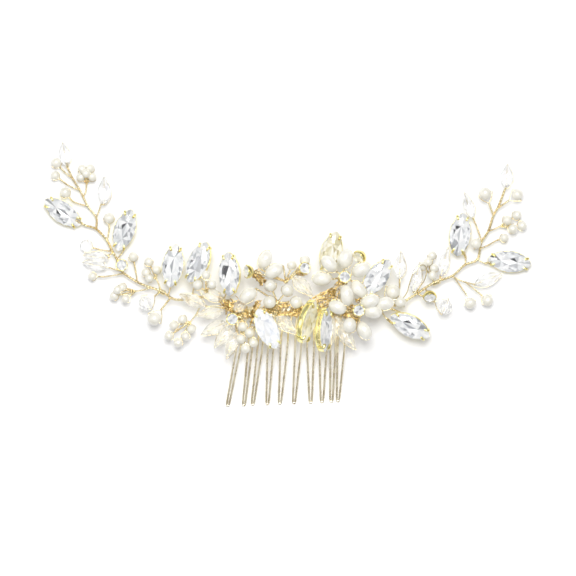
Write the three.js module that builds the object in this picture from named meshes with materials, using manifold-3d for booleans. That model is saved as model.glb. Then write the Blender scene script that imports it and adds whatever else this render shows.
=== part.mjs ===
// A bridal hair comb: a ten-tine wire comb carrying a vine of twisted gold wire, claw-set boat-shaped
// stones, round stones in cups, rice and round pearls, and clear drop beads.
// Millimetres. +X runs along the vine, +Y away from the tine tips, +Z out of the rail's front face.
// The origin is the middle of the rail's flat back face.

import * as THREE from 'three';
import { mergeVertices } from 'three/addons/utils/BufferGeometryUtils.js';
import { ConvexGeometry } from 'three/addons/geometries/ConvexGeometry.js';
import Module from 'manifold-3d';

// ---- Driving dimensions -----------------------------------------------------------------------

const GAP = 0.3;              // clearance kept between neighbouring pieces
const FLOOR = -4;             // height of the surface that the comb lies on

const RAIL_LENGTH = 41.6;
const RAIL_WIDTH = 2.6;
const RAIL_THICKNESS = 0.9;
const NOTCH_WIDTH = 0.9;
const NOTCH_DEPTH = 0.3;

const TINE_COUNT = 10;
const TINE_PITCH = 4;
const TINE_WIRE = 0.75;
const TINE_FRONT = RAIL_THICKNESS + GAP + TINE_WIRE / 2;   // height of a leg where it crosses the rail
const TINE_TIP_HEIGHT = FLOOR + TINE_WIRE / 2;
const TINE_TIP_WIDTH = 0.9;
const WAIST_Y = -13.7;                                     // level where the legs start to close up
const WAIST_X = [-20.2, -15.9, -12.4, -8.5, -3.7, 1.4, 5.9, 10.4, 14, 16.9];
const WAIST_WIDTH = [1.5, 1.5, 1.7, 2, 2.4, 2.1, 2.4, 2.6, 1.8, 2.4];
const TIP_X = [-23.9, -18.1, -14.9, -9.6, -5.1, 0, 6, 10.1, 13.5, 15.9];
const TIP_Y_LEFT = -34;
const TIP_Y_RIGHT = -32.4;

const STEM_HEIGHT = 2.9;      // centre line of the stems where they cross the rail
const STEM_RADIUS = 0.6;
const STEM_TIP_RADIUS = 0.42;
const STALK_RADIUS = 0.3;
const LOOP_RADIUS = 0.24;     // wire that runs through a threaded bead
const BORE_RADIUS = 0.6;

const LASHING_RADIUS = 0.2;
const LASHING_TURNS = 3;
const LASHING_FIRST_X = 8;    // first turn, then one turn in each gap between tines

const STONE_LENGTH = 15;
const STONE_WIDTH = 7;
const STONE_CROWN = 1.3;
const STONE_PAVILION = 1.5;
const SETTING_FLOOR = 0.6;
const SETTING_WALL = 0.5;
const SETTING_RIM = 2.1;      // height of the wall above the underside
const CLAW_HEIGHT = 3.4;
const CLAW_WIDTH = 0.9;
const CLAW_THICKNESS = 0.5;
const CLAW_LEAN = 28;         // degrees that a claw turns to follow the outline
const BOAT_POINT = 1.4;       // power of the sine: higher gives sharper tips
const BOAT_SIDES = 5;         // straight sides along each flank of a boat-shaped outline
const STONE_TABLE = 0.58;     // flat top of a stone as a share of its outline

const CHATON_RADIUS = 2.2;
const CHATON_HEIGHT = 2.4;
const CHATON_WALL = 1.7;      // height of the cup's wall
const CHATON_FOOT = 0.62;     // foot radius as a share of the rim's

const LOOP_FOOT = 1.6;        // twisted foot of a bead's wire loop, out from the bead
const KNOT_SIZE = 1.2;        // where the stalks of a spray meet
const HUB_DROP = 2.2;         // a flower's hub lies this far under its cup

// ---- Layout -----------------------------------------------------------------------------------

// Boat-shaped stones: x, y, turn about Z, height of the setting's underside, roll about the long axis.
const STONES = [
  [-83.6, 36, 144.5, FLOOR, 0],
  [-61.2, 29.5, 72, -2.6, 0],
  [-43.6, 16.7, 81.5, 1.2, 0],
  [-34.4, 17.8, 67, 2.6, -16],
  [-23.2, 13.7, 92, 4.4, -14],
  [-9.7, -5.9, 115.5, 6.6, 4],
  [4.8, -3.3, 74, 6.8, 58],
  [10.8, -6.2, 86, 6.4, 58],
  [13.2, 21.3, 75, 2.6, 0],
  [29.6, 12.4, 54, 4, 6],
  [41.8, -4.9, -28, 0.6, 14],
  [59.9, 27.9, 82, -2.6, 0],
  [77.8, 18.2, -7, FLOOR, 0],
];

// Stems, from the comb outwards.
const LEFT_STEM = [
  [-5, 0], [-17, 0], [-21, 1], [-25.5, 4], [-33, 5.4], [-42.5, 4.5], [-48, 7.6], [-55.5, 10.3], [-62.3, 14.8],
  [-64, 19], [-65.7, 22], [-67.7, 26], [-71.5, 30], [-75.6, 31.4],
];
const LEFT_BRANCH = [[-71.5, 30], [-71.5, 34.2], [-74.5, 38.2], [-77.4, 44], [-80, 48.2], [-82, 52.5]];
const RIGHT_STEM = [
  [5, 0], [18, 0], [24, 1], [31, 2], [37, 2.6], [42.5, 5.5], [50.3, 10.5], [57, 13], [61.6, 17], [66.2, 19],
  [67.6, 25], [70.2, 29.3], [72, 34.8], [74, 38.5], [76.1, 44.2],
];

// Stem height at the knots given as distance from the middle of the comb.
const HEIGHT_KNOTS = [
  [0, STEM_HEIGHT], [19, STEM_HEIGHT], [26, 1.1], [45, 0.2], [60, -1.2], [75, -2], [95, -2.2],
];

// Sprigs: a stalk from the stem outwards, then the beads that its end carries.
// Pearls and faceted beads: x, y, diameter, lift. Drops: x, y, turn, length, width, lift.
// Cups: x, y, lift, lean, and the bearing they lean towards when it is not +X.
const LEFT_SPRIGS = [
  { wire: [[-82, 52.5], [-82.2, 54]], drops: [[-82.9, 57.1, 100, 8.6, 4.6, 1]] },
  { wire: [[-80, 48.2], [-83, 50.6]], pearls: [[-86, 54, 3.7, 0.6]] },
  { wire: [[-77.4, 44], [-82, 46]], pearls: [[-86.4, 49.4, 3.2, 0.6]] },
  {
    wire: [[-76.2, 41.8], [-75.3, 43.5], [-75, 46.4]],
    pearls: [[-77.1, 48.8, 3.1, 0.8], [-72.9, 48.8, 3.1, 0.8], [-75, 50, 3.1, 2.2],
      [-76.6, 51.8, 3.1, 0.8], [-73.6, 52, 3.1, 0.8]],
  },
  { wire: [[-74.5, 38.2], [-79.9, 39.9]], pearls: [[-82.8, 43.2, 3.8, 0.6]] },
  { wire: [[-71.5, 34.2], [-69.8, 39]], drops: [[-68.5, 44, 92, 9.8, 5, 1.2]] },
  { wire: [[-67.7, 26], [-66.8, 30]], pearls: [[-66.8, 34, 3.8, 0.8]] },
  { wire: [[-65.7, 22], [-70.5, 22.6]], beads: [[-75.2, 24, 4.4, 0.6]] },
  { wire: [[-65.4, 21.5], [-67.6, 20.4]], drops: [[-71.4, 19.9, 174, 9, 4.2, 1.9]] },
  { wire: [[-62.3, 14.8], [-67.2, 16.2]], drops: [[-72, 17, 168, 9, 4.2, 0.6]] },
  { wire: [[-61.7, 14], [-68.7, 12.8]], pearls: [[-73, 12.9, 3, 0.4]] },
  { wire: [[-62.7, 16], [-62.3, 16.6]], cups: [[-62.1, 17, 2, 0]] },
  { wire: [[-64, 19], [-60.6, 24]] },
  { wire: [[-45.4, 6], [-44.2, 12]] },
  { wire: [[-37, 5], [-35.6, 13]] },
  { wire: [[-25.5, 4], [-23.6, 10]] },
  { wire: [[-56.7, 11], [-57.2, 14.6]], pearls: [[-58.1, 20, 3.3, 1]] },
  {
    wire: [[-48, 7.6], [-49.7, 12]],
    pearls: [
      [-52.5, 18.2, 3.1, 1], [-53.5, 14.3, 3.1, 1.4], [-49.6, 15.3, 3.1, 1.4], [-52.2, 12.2, 3.1, 2.4],
    ],
  },
  {
    wire: [[-52, 8.7], [-57, 7.6]],
    pearls: [[-62.1, 9, 3.1, 1.4], [-65, 5.8, 3.1, 1], [-60.8, 4.7, 3.1, 1], [-63.6, 8, 3.1, 2.6]],
  },
  {
    wire: [[-33.5, 5.2], [-34.6, 0.5], [-37.4, -3.6]],
    pearls: [[-40.3, -2.6, 3.2, 1.2], [-43.4, -4.8, 3.2, 1], [-37, -6.2, 3.2, 1], [-45.2, -8.6, 3.2, 1],
      [-39.2, -8.8, 3.2, 1.4], [-41.8, -11.1, 3.2, 1]],
  },
];
const RIGHT_SPRIGS = [
  { wire: [[76.1, 44.2], [76.4, 45.4]], drops: [[76.8, 49.2, 88, 8.6, 4.6, 1]] },
  { wire: [[67.6, 26], [66.2, 30.2], [64.6, 34]], drops: [[62.9, 38.5, 109, 9.4, 4, 1]] },
  {
    wire: [[70.2, 29.3], [74.5, 31]],
    pearls: [[77, 33.2, 3.4, 1], [80.5, 35, 3.4, 1.2], [82.4, 31.2, 3.4, 0.8], [79, 30, 3.4, 1.6]],
  },
  { wire: [[67.5, 23], [73.1, 25.9]], pearls: [[76, 26.8, 3.1, 0.6]] },
  { wire: [[66.2, 19], [68.9, 17.6]] },
  { wire: [[67.3, 24], [66.4, 24.4]], pearls: [[65.6, 24.7, 3.7, 2]] },
  { wire: [[57, 13], [60.6, 11.2], [65.1, 10]], drops: [[70.2, 12, 22, 10.6, 4.8, 1]] },
  { wire: [[61.6, 11.1], [67.4, 6.4]], pearls: [[69.9, 4.2, 4.2, 0.6]] },
  { wire: [[57.6, 12.6], [59.4, 10.4], [62.4, 6]], pearls: [[63.6, 3.2, 4.1, 0.6]] },
  { wire: [[61.6, 17], [62, 19.4]] },
  { wire: [[52.4, 11.2], [52.8, 13.4]], drops: [[54.1, 18, 76, 10.4, 4, 1.4]] },
  {
    wire: [[50.4, 10.6], [49.6, 13]],
    pearls: [[49.7, 20.5, 3.1, 1.2], [48.3, 18.2, 3.1, 1.4], [46.4, 16.6, 3.1, 1.6],
      [50.4, 15.8, 3.1, 2], [49.8, 13.2, 3.1, 2]],
  },
  { wire: [[43.8, 6.6], [44.8, 8.4]], drops: [[44, 12.6, 78, 10.6, 4.4, 2]] },
  { wire: [[37, 2.6], [38, 9]], drops: [[38.1, 16.9, 88, 9.4, 4.4, 2.6]] },
  { wire: [[47, 8.6], [48, 7.6]], cups: [[48.7, 7, 2, 55, -85]] },
  { wire: [[31, 2], [31.6, 0.6], [34.6, 1.2], [38.4, 0]] },
  { wire: [[31.3, 1.5], [32, -0.6], [34, -3], [36.2, -4.8]] },
  { wire: [[36.8, 2.6], [37.6, 3]], pearls: [[38.3, 3.6, 4, 3]] },
];

// Beads that turn on a wire loop: name, kind, x, y, diameter, stalk root, lift over the stem.
const THREADED = [
  ['crystal_bead_left', 'crystal', -53.5, 3.2, 5.2, [-48, 7.5], 2],
  ['crystal_bead_right', 'crystal', 54.5, 1.9, 5.2, [44.5, 6.6], 2],
  ['turning_pearl_left', 'pearl', -50.4, -2.4, 4.8, [-44.4, 5.4], 2],
  ['turning_pearl_right', 'pearl', 68.9, 42.8, 4.4, [72, 34.8], 1.6],
  ['turning_pearl_far_right', 'pearl', 80.6, 42.4, 4.1, [73.6, 37.6], 1.6],
  ['turning_pearl_inner_right', 'pearl', 35.6, 7.4, 5.2, [31, 2], 1.9],
];

// Sprays over the comb: root on the rail, then beads with heights of their own instead of lifts.
const SPRAYS = [
  {
    name: 'drop_fan_left', kind: 'crystal', root: [-21.5, 1, 4.6],
    drops: [[-36.8, 4.4, 155, 10, 4.6, 3.9], [-30, 6.6, 157, 10, 4.8, 4.6], [-29.9, -0.3, 193, 10, 4.8, 3.6],
      [-29.1, -5.8, 207, 10, 4.8, 3.4], [-25.3, -8.8, 232, 10, 4.8, 3.4], [-22.6, -11.8, 250, 10, 4.6, 4.8]],
  },
  {
    name: 'pearl_cluster_lower', kind: 'pearl', root: [-19, -1.5, 5.2],
    pearls: [[-18.6, -5.2, 3.4, 5.6], [-16, -7.4, 3.4, 5.2], [-19.2, -9.6, 3.4, 5.6], [-14.6, -11, 3.4, 5],
      [-17.5, -13.1, 3.4, 5.2]],
    beads: [[-19.6, 2, 4.6, 6.6]],
    cups: [[-22.1, -2.4, 8, 0]],
  },
  {
    name: 'pearl_spray_left', kind: 'pearl', root: [-31.6, 7.5, 7],
    pearls: [[-31.6, 13.4, 3.2, 6.8], [-34.6, 9.8, 3.5, 7.6], [-29.4, 10, 3.2, 8.4]],
  },
  {
    name: 'pearl_spray_centre', kind: 'pearl', root: [-6, 3.6, 5],
    pearls: [[-8.5, 9.6, 4.1, 6.8], [-2.4, 7.9, 4.3, 7], [-8.8, 3.6, 4.5, 6.6], [0.8, 3.5, 4.3, 6.2]],
    rice: [[-16.6, 6, 43, 7, 4.8, 6.4]],
    drops: [[-2.6, -4.6, -40, 9.4, 5, 4.8]],
  },
  {
    name: 'pearl_spray_upper', kind: 'pearl', root: [-3, 11, 4.4],
    pearls: [[-0.8, 17, 3.2, 5], [4, 18.7, 3.4, 4.8]],
    rice: [[-10.4, 18.9, 63, 7, 4.6, 5], [-7.2, 14.8, 31, 7, 4.8, 6]],
    drops: [[3.3, 9.4, -44, 9.4, 5, 4.6]],
    cups: [[3.2, 15.9, 6, 20], [-15, 14.6, 7, -70]],
  },
  {
    name: 'drop_fan_right', kind: 'crystal', root: [14, -1.4, 4.6],
    drops: [[13.6, -6.8, 267, 10, 4.4, 3.9], [16.2, -6, -66, 10, 4.4, 4.6], [19.2, -9.4, -52, 9.6, 4.6, 4.4]],
  },
];

// Flowers: the cup in the middle, then petals as x, y, turn, length, width, height.
const FLOWERS = [
  {
    name: 'upper_flower', centre: [18.1, 12.7, 9.2],
    petals: [[9.9, 11.9, 0, 7, 4.8, 6.6], [12.6, 17.4, 132, 7, 4.8, 8.4], [18.4, 19.2, 80, 7, 4.8, 7.6],
      [24, 15.2, 28, 7, 4.8, 9], [18.9, 6.1, 98, 7.6, 4.8, 8.8], [23.2, 8.2, 130, 7, 4.6, 7]],
  },
  {
    name: 'lower_flower', centre: [23.1, 0.7, 9.2],
    petals: [[15.6, 1.8, -22, 6.8, 4.8, 8], [28, 0.2, -6, 7, 4.8, 7.4], [25.2, -6.6, -60, 7, 4.8, 7.4],
      [19.9, -4.7, 90, 5.4, 4.8, 8.2], [32.4, 3.2, 5, 7, 4.8, 6.6], [27.2, 3.9, 20, 7, 4.6, 8.8]],
  },
];
const UPPER_SETTING = { foot: [24.7, 20.7, 4.8], lean: 50, bearing: 215 };

// ---- Materials --------------------------------------------------------------------------------

const finish = (color, metalness, roughness) =>
  new THREE.MeshStandardMaterial({ color, metalness, roughness });
const COMB_METAL = finish(0xcdb894, 1, 0.25);
const GOLD_WIRE = finish(0xd9b45a, 1, 0.3);
const SETTING_GOLD = finish(0xe0c04a, 1, 0.2);
const CLEAR_STONE = finish(0xc9cdd6, 0, 0.05);
const CRYSTAL = finish(0xeadbc5, 0, 0.08);
const PEARL = finish(0xf6f2e8, 0, 0.3);
const SPRAY_FINISH = { pearl: PEARL, crystal: CRYSTAL };

// ---- Solids -----------------------------------------------------------------------------------

const wasm = await Module();
wasm.setup();
const { Manifold, Mesh } = wasm;

function solid(geometry) {
  const bare = geometry.clone();
  bare.deleteAttribute('normal');
  bare.deleteAttribute('uv');
  const merged = mergeVertices(bare, 1e-4);
  return new Manifold(new Mesh({
    numProp: 3,
    vertProperties: new Float32Array(merged.attributes.position.array),
    triVerts: new Uint32Array(merged.index.array),
  }));
}

function geometryOf(body) {
  const mesh = body.getMesh();
  const geometry = new THREE.BufferGeometry();
  geometry.setAttribute('position', new THREE.BufferAttribute(mesh.vertProperties, 3));
  geometry.setIndex(new THREE.BufferAttribute(mesh.triVerts, 1));
  geometry.computeVertexNormals();
  return geometry;
}

const join = (bodies) => Manifold.union(bodies);
const degrees = THREE.MathUtils.degToRad;
const vector = (point) => new THREE.Vector3(...point);

// A piece cut by its neighbours keeps its main part only.
function mainPart(body) {
  const parts = body.decompose();
  return parts.reduce((best, part) => (part.volume() > best.volume() ? part : best));
}

// A wire's centre line: straight runs between the given points, with one section at each point.
class WirePath extends THREE.Curve {
  constructor(points) {
    super();
    this.stations = points.map(vector);
  }

  getPoint(t) {
    const last = this.stations.length - 1;
    const index = Math.min(Math.floor(t * last + 1e-9), last - 1);
    return this.stations[index].clone().lerp(this.stations[index + 1], t * last - index);
  }

  getPointAt(t) {
    return this.getPoint(t);
  }

  getTangentAt(t) {
    const last = this.stations.length - 1;
    const index = Math.round(t * last);
    const before = this.stations[Math.max(index - 1, 0)];
    const after = this.stations[Math.min(index + 1, last)];
    return after.clone().sub(before).normalize();
  }
}

function tube(points, radius, sides = 5) {
  const section = new THREE.Shape(
    Array.from({ length: sides }, (_, i) => {
      const angle = (2 * Math.PI * i) / sides;
      return new THREE.Vector2(radius * Math.cos(angle), radius * Math.sin(angle));
    }),
  );
  const steps = points.length - 1;
  const extrudePath = new WirePath(points);
  return solid(new THREE.ExtrudeGeometry(section, { extrudePath, steps, bevelEnabled: false }));
}

function ball(x, y, z, diameter, grow) {
  const geometry = new THREE.SphereGeometry(diameter / 2 + grow, 6, 4);
  return solid(geometry.translate(x, y, z));
}

function ricePearl(x, y, z, turn, length, width, grow) {
  const geometry = new THREE.SphereGeometry(1, 6, 4).rotateZ(Math.PI / 2);
  geometry.scale(length / 2 + grow, width / 2 + grow, width / 2 + grow);
  return solid(geometry.rotateZ(degrees(turn)).translate(x, y, z));
}

// A six-sided drop whose point looks along `turn`; its blunt end faces the wire.
function dropBead(x, y, z, turn, length, width, grow) {
  const profile = [[0, -0.5], [0.42, -0.44], [1, -0.12], [0.52, 0.36], [0, 0.5]];
  const lathe = new THREE.LatheGeometry(
    profile.map(([r, h]) => new THREE.Vector2(r * (width / 2 + grow), h * (length + 2 * grow))),
    6,
  );
  return solid(lathe.rotateZ(-Math.PI / 2).rotateZ(degrees(turn)).translate(x, y, z));
}

// A round stone glued into its cup; lean tips it towards +X.
function cupBody(grow) {
  const r = CHATON_RADIUS + grow;
  const outline = [[0, -grow], [r * CHATON_FOOT, -grow], [r, 1], [r, CHATON_WALL], [0, CHATON_WALL]];
  return new THREE.LatheGeometry(outline.map((p) => new THREE.Vector2(...p)), 8).rotateX(Math.PI / 2);
}

function cupStone(grow) {
  const r = CHATON_RADIUS - GAP + grow;
  const low = CHATON_WALL + GAP - grow;
  const top = CHATON_HEIGHT + GAP + grow;
  const outline = [[0, low], [r, low], [r, low + 0.2], [r * 0.55, top], [0, top]];
  return new THREE.LatheGeometry(outline.map((p) => new THREE.Vector2(...p)), 8).rotateX(Math.PI / 2);
}

function cup(x, y, z, lean, grow, bearing = 0) {
  const r = CHATON_RADIUS + grow;
  const outline = [
    [0, -grow], [r * CHATON_FOOT, -grow], [r, 1], [r, CHATON_WALL],
    [r * 0.5, CHATON_HEIGHT + grow], [0, CHATON_HEIGHT + grow],
  ];
  const lathe = new THREE.LatheGeometry(outline.map((p) => new THREE.Vector2(...p)), 8);
  const leaning = lathe.rotateX(Math.PI / 2).rotateY(degrees(lean)).rotateZ(degrees(bearing));
  return solid(leaning.translate(x, y, z));
}

// ---- Assembly ---------------------------------------------------------------------------------

const comb = new THREE.Group();
comb.name = 'hair_comb';
const keepClear = [];

// Adds one piece, cut back by the pieces before it. make(grow) builds it with `grow` added all round.
function place(name, material, make) {
  let body = make(0);
  for (const guard of keepClear) body = body.subtract(guard);
  keepClear.push(make(GAP));
  const mesh = new THREE.Mesh(geometryOf(mainPart(body)), material);
  mesh.name = name;
  comb.add(mesh);
}

// ---- Comb -------------------------------------------------------------------------------------

const mirrorPair = (values) => [...values.map((v) => -v).reverse(), ...values];
const LASHING_X = Array.from({ length: LASHING_TURNS }, (_, i) => LASHING_FIRST_X + i * TINE_PITCH);

// A flat strip, notched across the back where the lashing passes.
function rail(grow) {
  const half = RAIL_LENGTH / 2 + grow;
  const outline = new THREE.Shape();
  outline.moveTo(-half, -grow);
  for (const x of mirrorPair(LASHING_X)) {
    const reach = NOTCH_WIDTH / 2 - grow / 2;
    outline.lineTo(x - reach, -grow);
    outline.lineTo(x - reach, NOTCH_DEPTH - grow);
    outline.lineTo(x + reach, NOTCH_DEPTH - grow);
    outline.lineTo(x + reach, -grow);
  }
  outline.lineTo(half, -grow);
  outline.lineTo(half, RAIL_THICKNESS + grow);
  outline.lineTo(-half, RAIL_THICKNESS + grow);
  const depth = RAIL_WIDTH + 2 * grow;
  const strip = new THREE.ExtrudeGeometry(outline, { depth, bevelEnabled: false });
  return solid(strip.rotateX(Math.PI / 2).translate(0, depth / 2, 0));
}

// One leg from the rail's top edge down to its tip, on the side given by -1 or 1.
function legPoints(index, side) {
  const railX = (index - (TINE_COUNT - 1) / 2) * TINE_PITCH + (side * TINE_PITCH) / 4;
  const waistX = WAIST_X[index] + (side * WAIST_WIDTH[index]) / 2;
  const tipX = TIP_X[index] + (side * TINE_TIP_WIDTH) / 2;
  const tipY = THREE.MathUtils.lerp(TIP_Y_LEFT, TIP_Y_RIGHT, index / (TINE_COUNT - 1)) + TINE_TIP_WIDTH;
  const edge = RAIL_WIDTH / 2 + GAP + TINE_WIRE / 2;
  return [
    [railX, edge, TINE_WIRE / 2],
    [railX, edge, TINE_FRONT - 0.35],
    [railX, edge - 0.5, TINE_FRONT],
    [railX, -edge, TINE_FRONT],
    [(railX + 2 * waistX) / 3, -6, TINE_FRONT - 0.1],
    [waistX, WAIST_Y, 0.9],
    [(waistX + tipX) / 2, (WAIST_Y + tipY) / 2, -1.2],
    [tipX, tipY, TINE_TIP_HEIGHT],
  ];
}

function tine(index, grow) {
  const left = legPoints(index, -1);
  const right = legPoints(index, 1).reverse();
  const tip = [TIP_X[index], left.at(-1)[1] - TINE_TIP_WIDTH * 0.6, TINE_TIP_HEIGHT];
  return tube([...left, tip, ...right], TINE_WIRE / 2 + grow);
}

// ---- Boat-shaped stones and their settings ----------------------------------------------------

// Half a pointed oval is an arc from tip to tip; the sine keeps the points sharp.
function boatPoints(length, width, perSide) {
  const half = Array.from({ length: perSide }, (_, i) => {
    const angle = (Math.PI * i) / perSide;
    return [(-length / 2) * Math.cos(angle), (width / 2) * Math.sin(angle) ** BOAT_POINT];
  });
  return [...half.map(([x, y]) => [x, -y]), ...half.map(([x, y]) => [-x, y])];
}

function boatPlate(length, width, low, high) {
  const shape = new THREE.Shape(boatPoints(length, width, BOAT_SIDES).map((p) => new THREE.Vector2(...p)));
  return new THREE.ExtrudeGeometry(shape, { depth: high - low, bevelEnabled: false }).translate(0, 0, low);
}

function boatStone(grow) {
  const girdle = SETTING_FLOOR + GAP + STONE_PAVILION;
  const rings = [
    [0.25, SETTING_FLOOR + GAP], [1, girdle], [1, girdle + 0.25], [STONE_TABLE, girdle + STONE_CROWN],
  ];
  const points = rings.flatMap(([scale, height], i) => boatPoints(
    (STONE_LENGTH + 2 * grow) * scale, (STONE_WIDTH + 2 * grow) * scale, BOAT_SIDES,
  ).map(([x, y]) => new THREE.Vector3(x, y, height + (i === 0 ? -grow : grow * (i / 3)))));
  return new ConvexGeometry(points);
}

// A shallow boat with a solid floor and four claws that stand beside the stone's crown.
function boatSetting() {
  const outer = [STONE_LENGTH + 2 * (GAP + SETTING_WALL), STONE_WIDTH + 2 * (GAP + SETTING_WALL)];
  const inner = [STONE_LENGTH + 2 * GAP, STONE_WIDTH + 2 * GAP];
  const tray = solid(boatPlate(...outer, 0, SETTING_RIM))
    .subtract(solid(boatPlate(...inner, SETTING_FLOOR, SETTING_RIM + 1)));
  const ring = boatPoints(outer[0] - SETTING_WALL, outer[1] - SETTING_WALL, BOAT_SIDES);
  const claws = [1, BOAT_SIDES - 1, BOAT_SIDES + 1, 2 * BOAT_SIDES - 1].map((corner) => {
    const [x, y] = ring[corner];
    const block = new THREE.BoxGeometry(CLAW_WIDTH, CLAW_THICKNESS, CLAW_HEIGHT);
    block.translate(0, 0, CLAW_HEIGHT / 2).rotateZ(-Math.sign(x * y) * degrees(CLAW_LEAN));
    return solid(block.translate(x, y, 0));
  });
  return join([tray, ...claws]);
}

function settingGuard() {
  const length = STONE_LENGTH + 2 * (2 * GAP + SETTING_WALL);
  const width = STONE_WIDTH + 2 * (2 * GAP + SETTING_WALL);
  return solid(boatPlate(length + 0.6, width + 0.3, -GAP, CLAW_HEIGHT + 2 * GAP));
}

function setInPlace(body, [x, y, turn, base, roll]) {
  const middle = CLAW_HEIGHT / 2;
  const rolled = body.translate([0, 0, -middle]).rotate([roll, 0, 0]);
  return rolled.rotate([0, 0, turn]).translate([x, y, base + middle]);
}

// ---- Stems, sprigs and sprays -----------------------------------------------------------------

function stemHeight(x) {
  const distance = Math.abs(x);
  const after = HEIGHT_KNOTS.findIndex(([at]) => at > distance);
  const [x0, z0] = HEIGHT_KNOTS[after - 1];
  const [x1, z1] = HEIGHT_KNOTS[after];
  return THREE.MathUtils.lerp(z0, z1, THREE.MathUtils.smoothstep(distance, x0, x1));
}

const raised = ([x, y], lift = 0) => [x, y, stemHeight(x) + lift];

function sprig({ wire, pearls = [], drops = [], beads = [], cups = [] }, grow) {
  const end = wire.at(-1);
  const reach = [...pearls, ...beads].map(([x, y, , lift]) => raised([x, y], lift))
    .concat(drops.map(([x, y, , , , lift]) => raised([x, y], lift)))
    .concat(cups.map(([x, y, lift]) => raised([x, y], lift + 0.4)));
  return [
    tube(wire.map((p) => raised(p)), STALK_RADIUS + grow, 3),
    ...reach.map((to) => tube([raised(end), to], STALK_RADIUS + grow, 3)),
    ...pearls.map(([x, y, d, lift]) => ball(x, y, stemHeight(x) + lift, d, grow)),
    ...beads.map(([x, y, d, lift]) => ball(x, y, stemHeight(x) + lift, d, grow)),
    ...drops.map(([x, y, turn, l, w, lift]) => dropBead(x, y, stemHeight(x) + lift, turn, l, w, grow)),
    ...cups.map(([x, y, lift, lean, bearing]) => cup(x, y, stemHeight(x) + lift, lean, grow, bearing)),
  ];
}

// The wire of a threaded bead comes up from the stalk, through the bore and back down the far side.
function beadLoop([, , x, y, diameter, root, lift], grow) {
  const middle = vector(raised([x, y], lift));
  const start = vector(raised(root));
  const along = middle.clone().sub(start).setZ(0).normalize();
  const across = new THREE.Vector3(-along.y, along.x, 0);
  const r = diameter / 2;
  const at = (a, b) => middle.clone().addScaledVector(along, a).addScaledVector(across, b).toArray();
  const foot = at(-r - LOOP_FOOT, 0);
  const shoulder = r + GAP + LOOP_RADIUS;
  const loop = [
    at(-r - LOOP_FOOT, 0.1), at(-0.85 * shoulder, 0.72 * shoulder), at(-0.3, r + 0.75), at(0, r + 0.1),
    at(0, 0),
    at(0, -r - 0.1), at(-0.3, -r - 0.75), at(-0.85 * shoulder, -0.72 * shoulder), at(-r - LOOP_FOOT, -0.1),
  ];
  return [
    tube([start.toArray(), foot], STALK_RADIUS + grow, 3),
    tube(loop, LOOP_RADIUS + grow, 4),
  ];
}

function threadedBead([, kind, x, y, diameter, root, lift], grow) {
  const r = diameter / 2 + grow;
  const bore = BORE_RADIUS - grow;
  const start = Math.asin(bore / r);
  const arc = Array.from({ length: 6 }, (_, i) => {
    const angle = THREE.MathUtils.lerp(start, Math.PI - start, i / 5);
    return new THREE.Vector2(r * Math.sin(angle), -r * Math.cos(angle));
  });
  const heading = Math.atan2(y - root[1], x - root[0]);
  const lathe = new THREE.LatheGeometry([...arc, arc[0].clone()], kind === 'pearl' ? 10 : 8);
  return solid(lathe.rotateZ(heading).translate(x, y, stemHeight(x) + lift));
}

function vine(stems, sprigs, loops, grow) {
  const wires = stems.map((points, i) => (
    tube(points.map((p) => raised(p)), (i === 0 ? STEM_RADIUS : STEM_TIP_RADIUS) + grow, 4)
  ));
  return join([
    ...wires,
    ...sprigs.flatMap((item) => sprig(item, grow)),
    ...loops.flatMap((item) => beadLoop(item, grow)),
  ]);
}

function spray({ root, pearls = [], drops = [], beads = [], cups = [], rice = [] }, grow) {
  const centres = [...pearls, ...beads].map(([x, y, , z]) => [x, y, z])
    .concat([...drops, ...rice].map(([x, y, , , , z]) => [x, y, z]))
    .concat(cups.map(([x, y, z]) => [x, y, z + 0.4]));
  return join([
    ball(...root, KNOT_SIZE, grow),
    ...centres.map((to) => tube([root, to], STALK_RADIUS + grow, 3)),
    ...pearls.map(([x, y, d, z]) => ball(x, y, z, d, grow)),
    ...beads.map(([x, y, d, z]) => ball(x, y, z, d, grow)),
    ...drops.map(([x, y, turn, l, w, z]) => dropBead(x, y, z, turn, l, w, grow)),
    ...cups.map(([x, y, z, lean]) => cup(x, y, z, lean, grow)),
    ...rice.map(([x, y, turn, l, w, z]) => ricePearl(x, y, z, turn, l, w, grow)),
  ]);
}

function flowerPetals({ centre: [x, y, z], petals }, grow) {
  return join([
    ball(x, y, z - HUB_DROP, CHATON_RADIUS, grow),
    ...petals.map((p) => tube([[x, y, z - HUB_DROP], [p[0], p[1], p[5]]], STALK_RADIUS + grow, 3)),
    ...petals.map(([px, py, turn, l, w, pz]) => ricePearl(px, py, pz, turn, l, w, grow)),
  ]);
}

// ---- Lashing ----------------------------------------------------------------------------------

// Turns of thin wire round the rail and the stem, one in each gap between tines, on one side.
function lashing(side, grow) {
  const back = -GAP - LASHING_RADIUS + NOTCH_DEPTH;
  const edge = RAIL_WIDTH / 2 + GAP + LASHING_RADIUS + 0.3;
  const front = STEM_HEIGHT + STEM_RADIUS + GAP + LASHING_RADIUS;
  const points = LASHING_X.flatMap((x) => [
    [side * x, -edge, 1.4], [side * x, -edge + 0.3, back + 0.1], [side * x, 0, back],
    [side * x, edge - 0.3, back + 0.1],
    [side * x, edge, 1.4], [side * (x + 0.8), edge - 0.5, front - 0.4],
    [side * (x + 2), 0, front], [side * (x + 3.2), -edge + 0.5, front - 0.4],
  ]);
  return tube(points.slice(0, -2), LASHING_RADIUS + grow, 4);
}

// ---- The whole comb ---------------------------------------------------------------------------

const twoDigits = (number) => String(number).padStart(2, '0');

place('comb_rail', COMB_METAL, rail);
for (let i = 0; i < TINE_COUNT; i += 1) {
  place(`tine_${twoDigits(i + 1)}`, COMB_METAL, (grow) => tine(i, grow));
}

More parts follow.
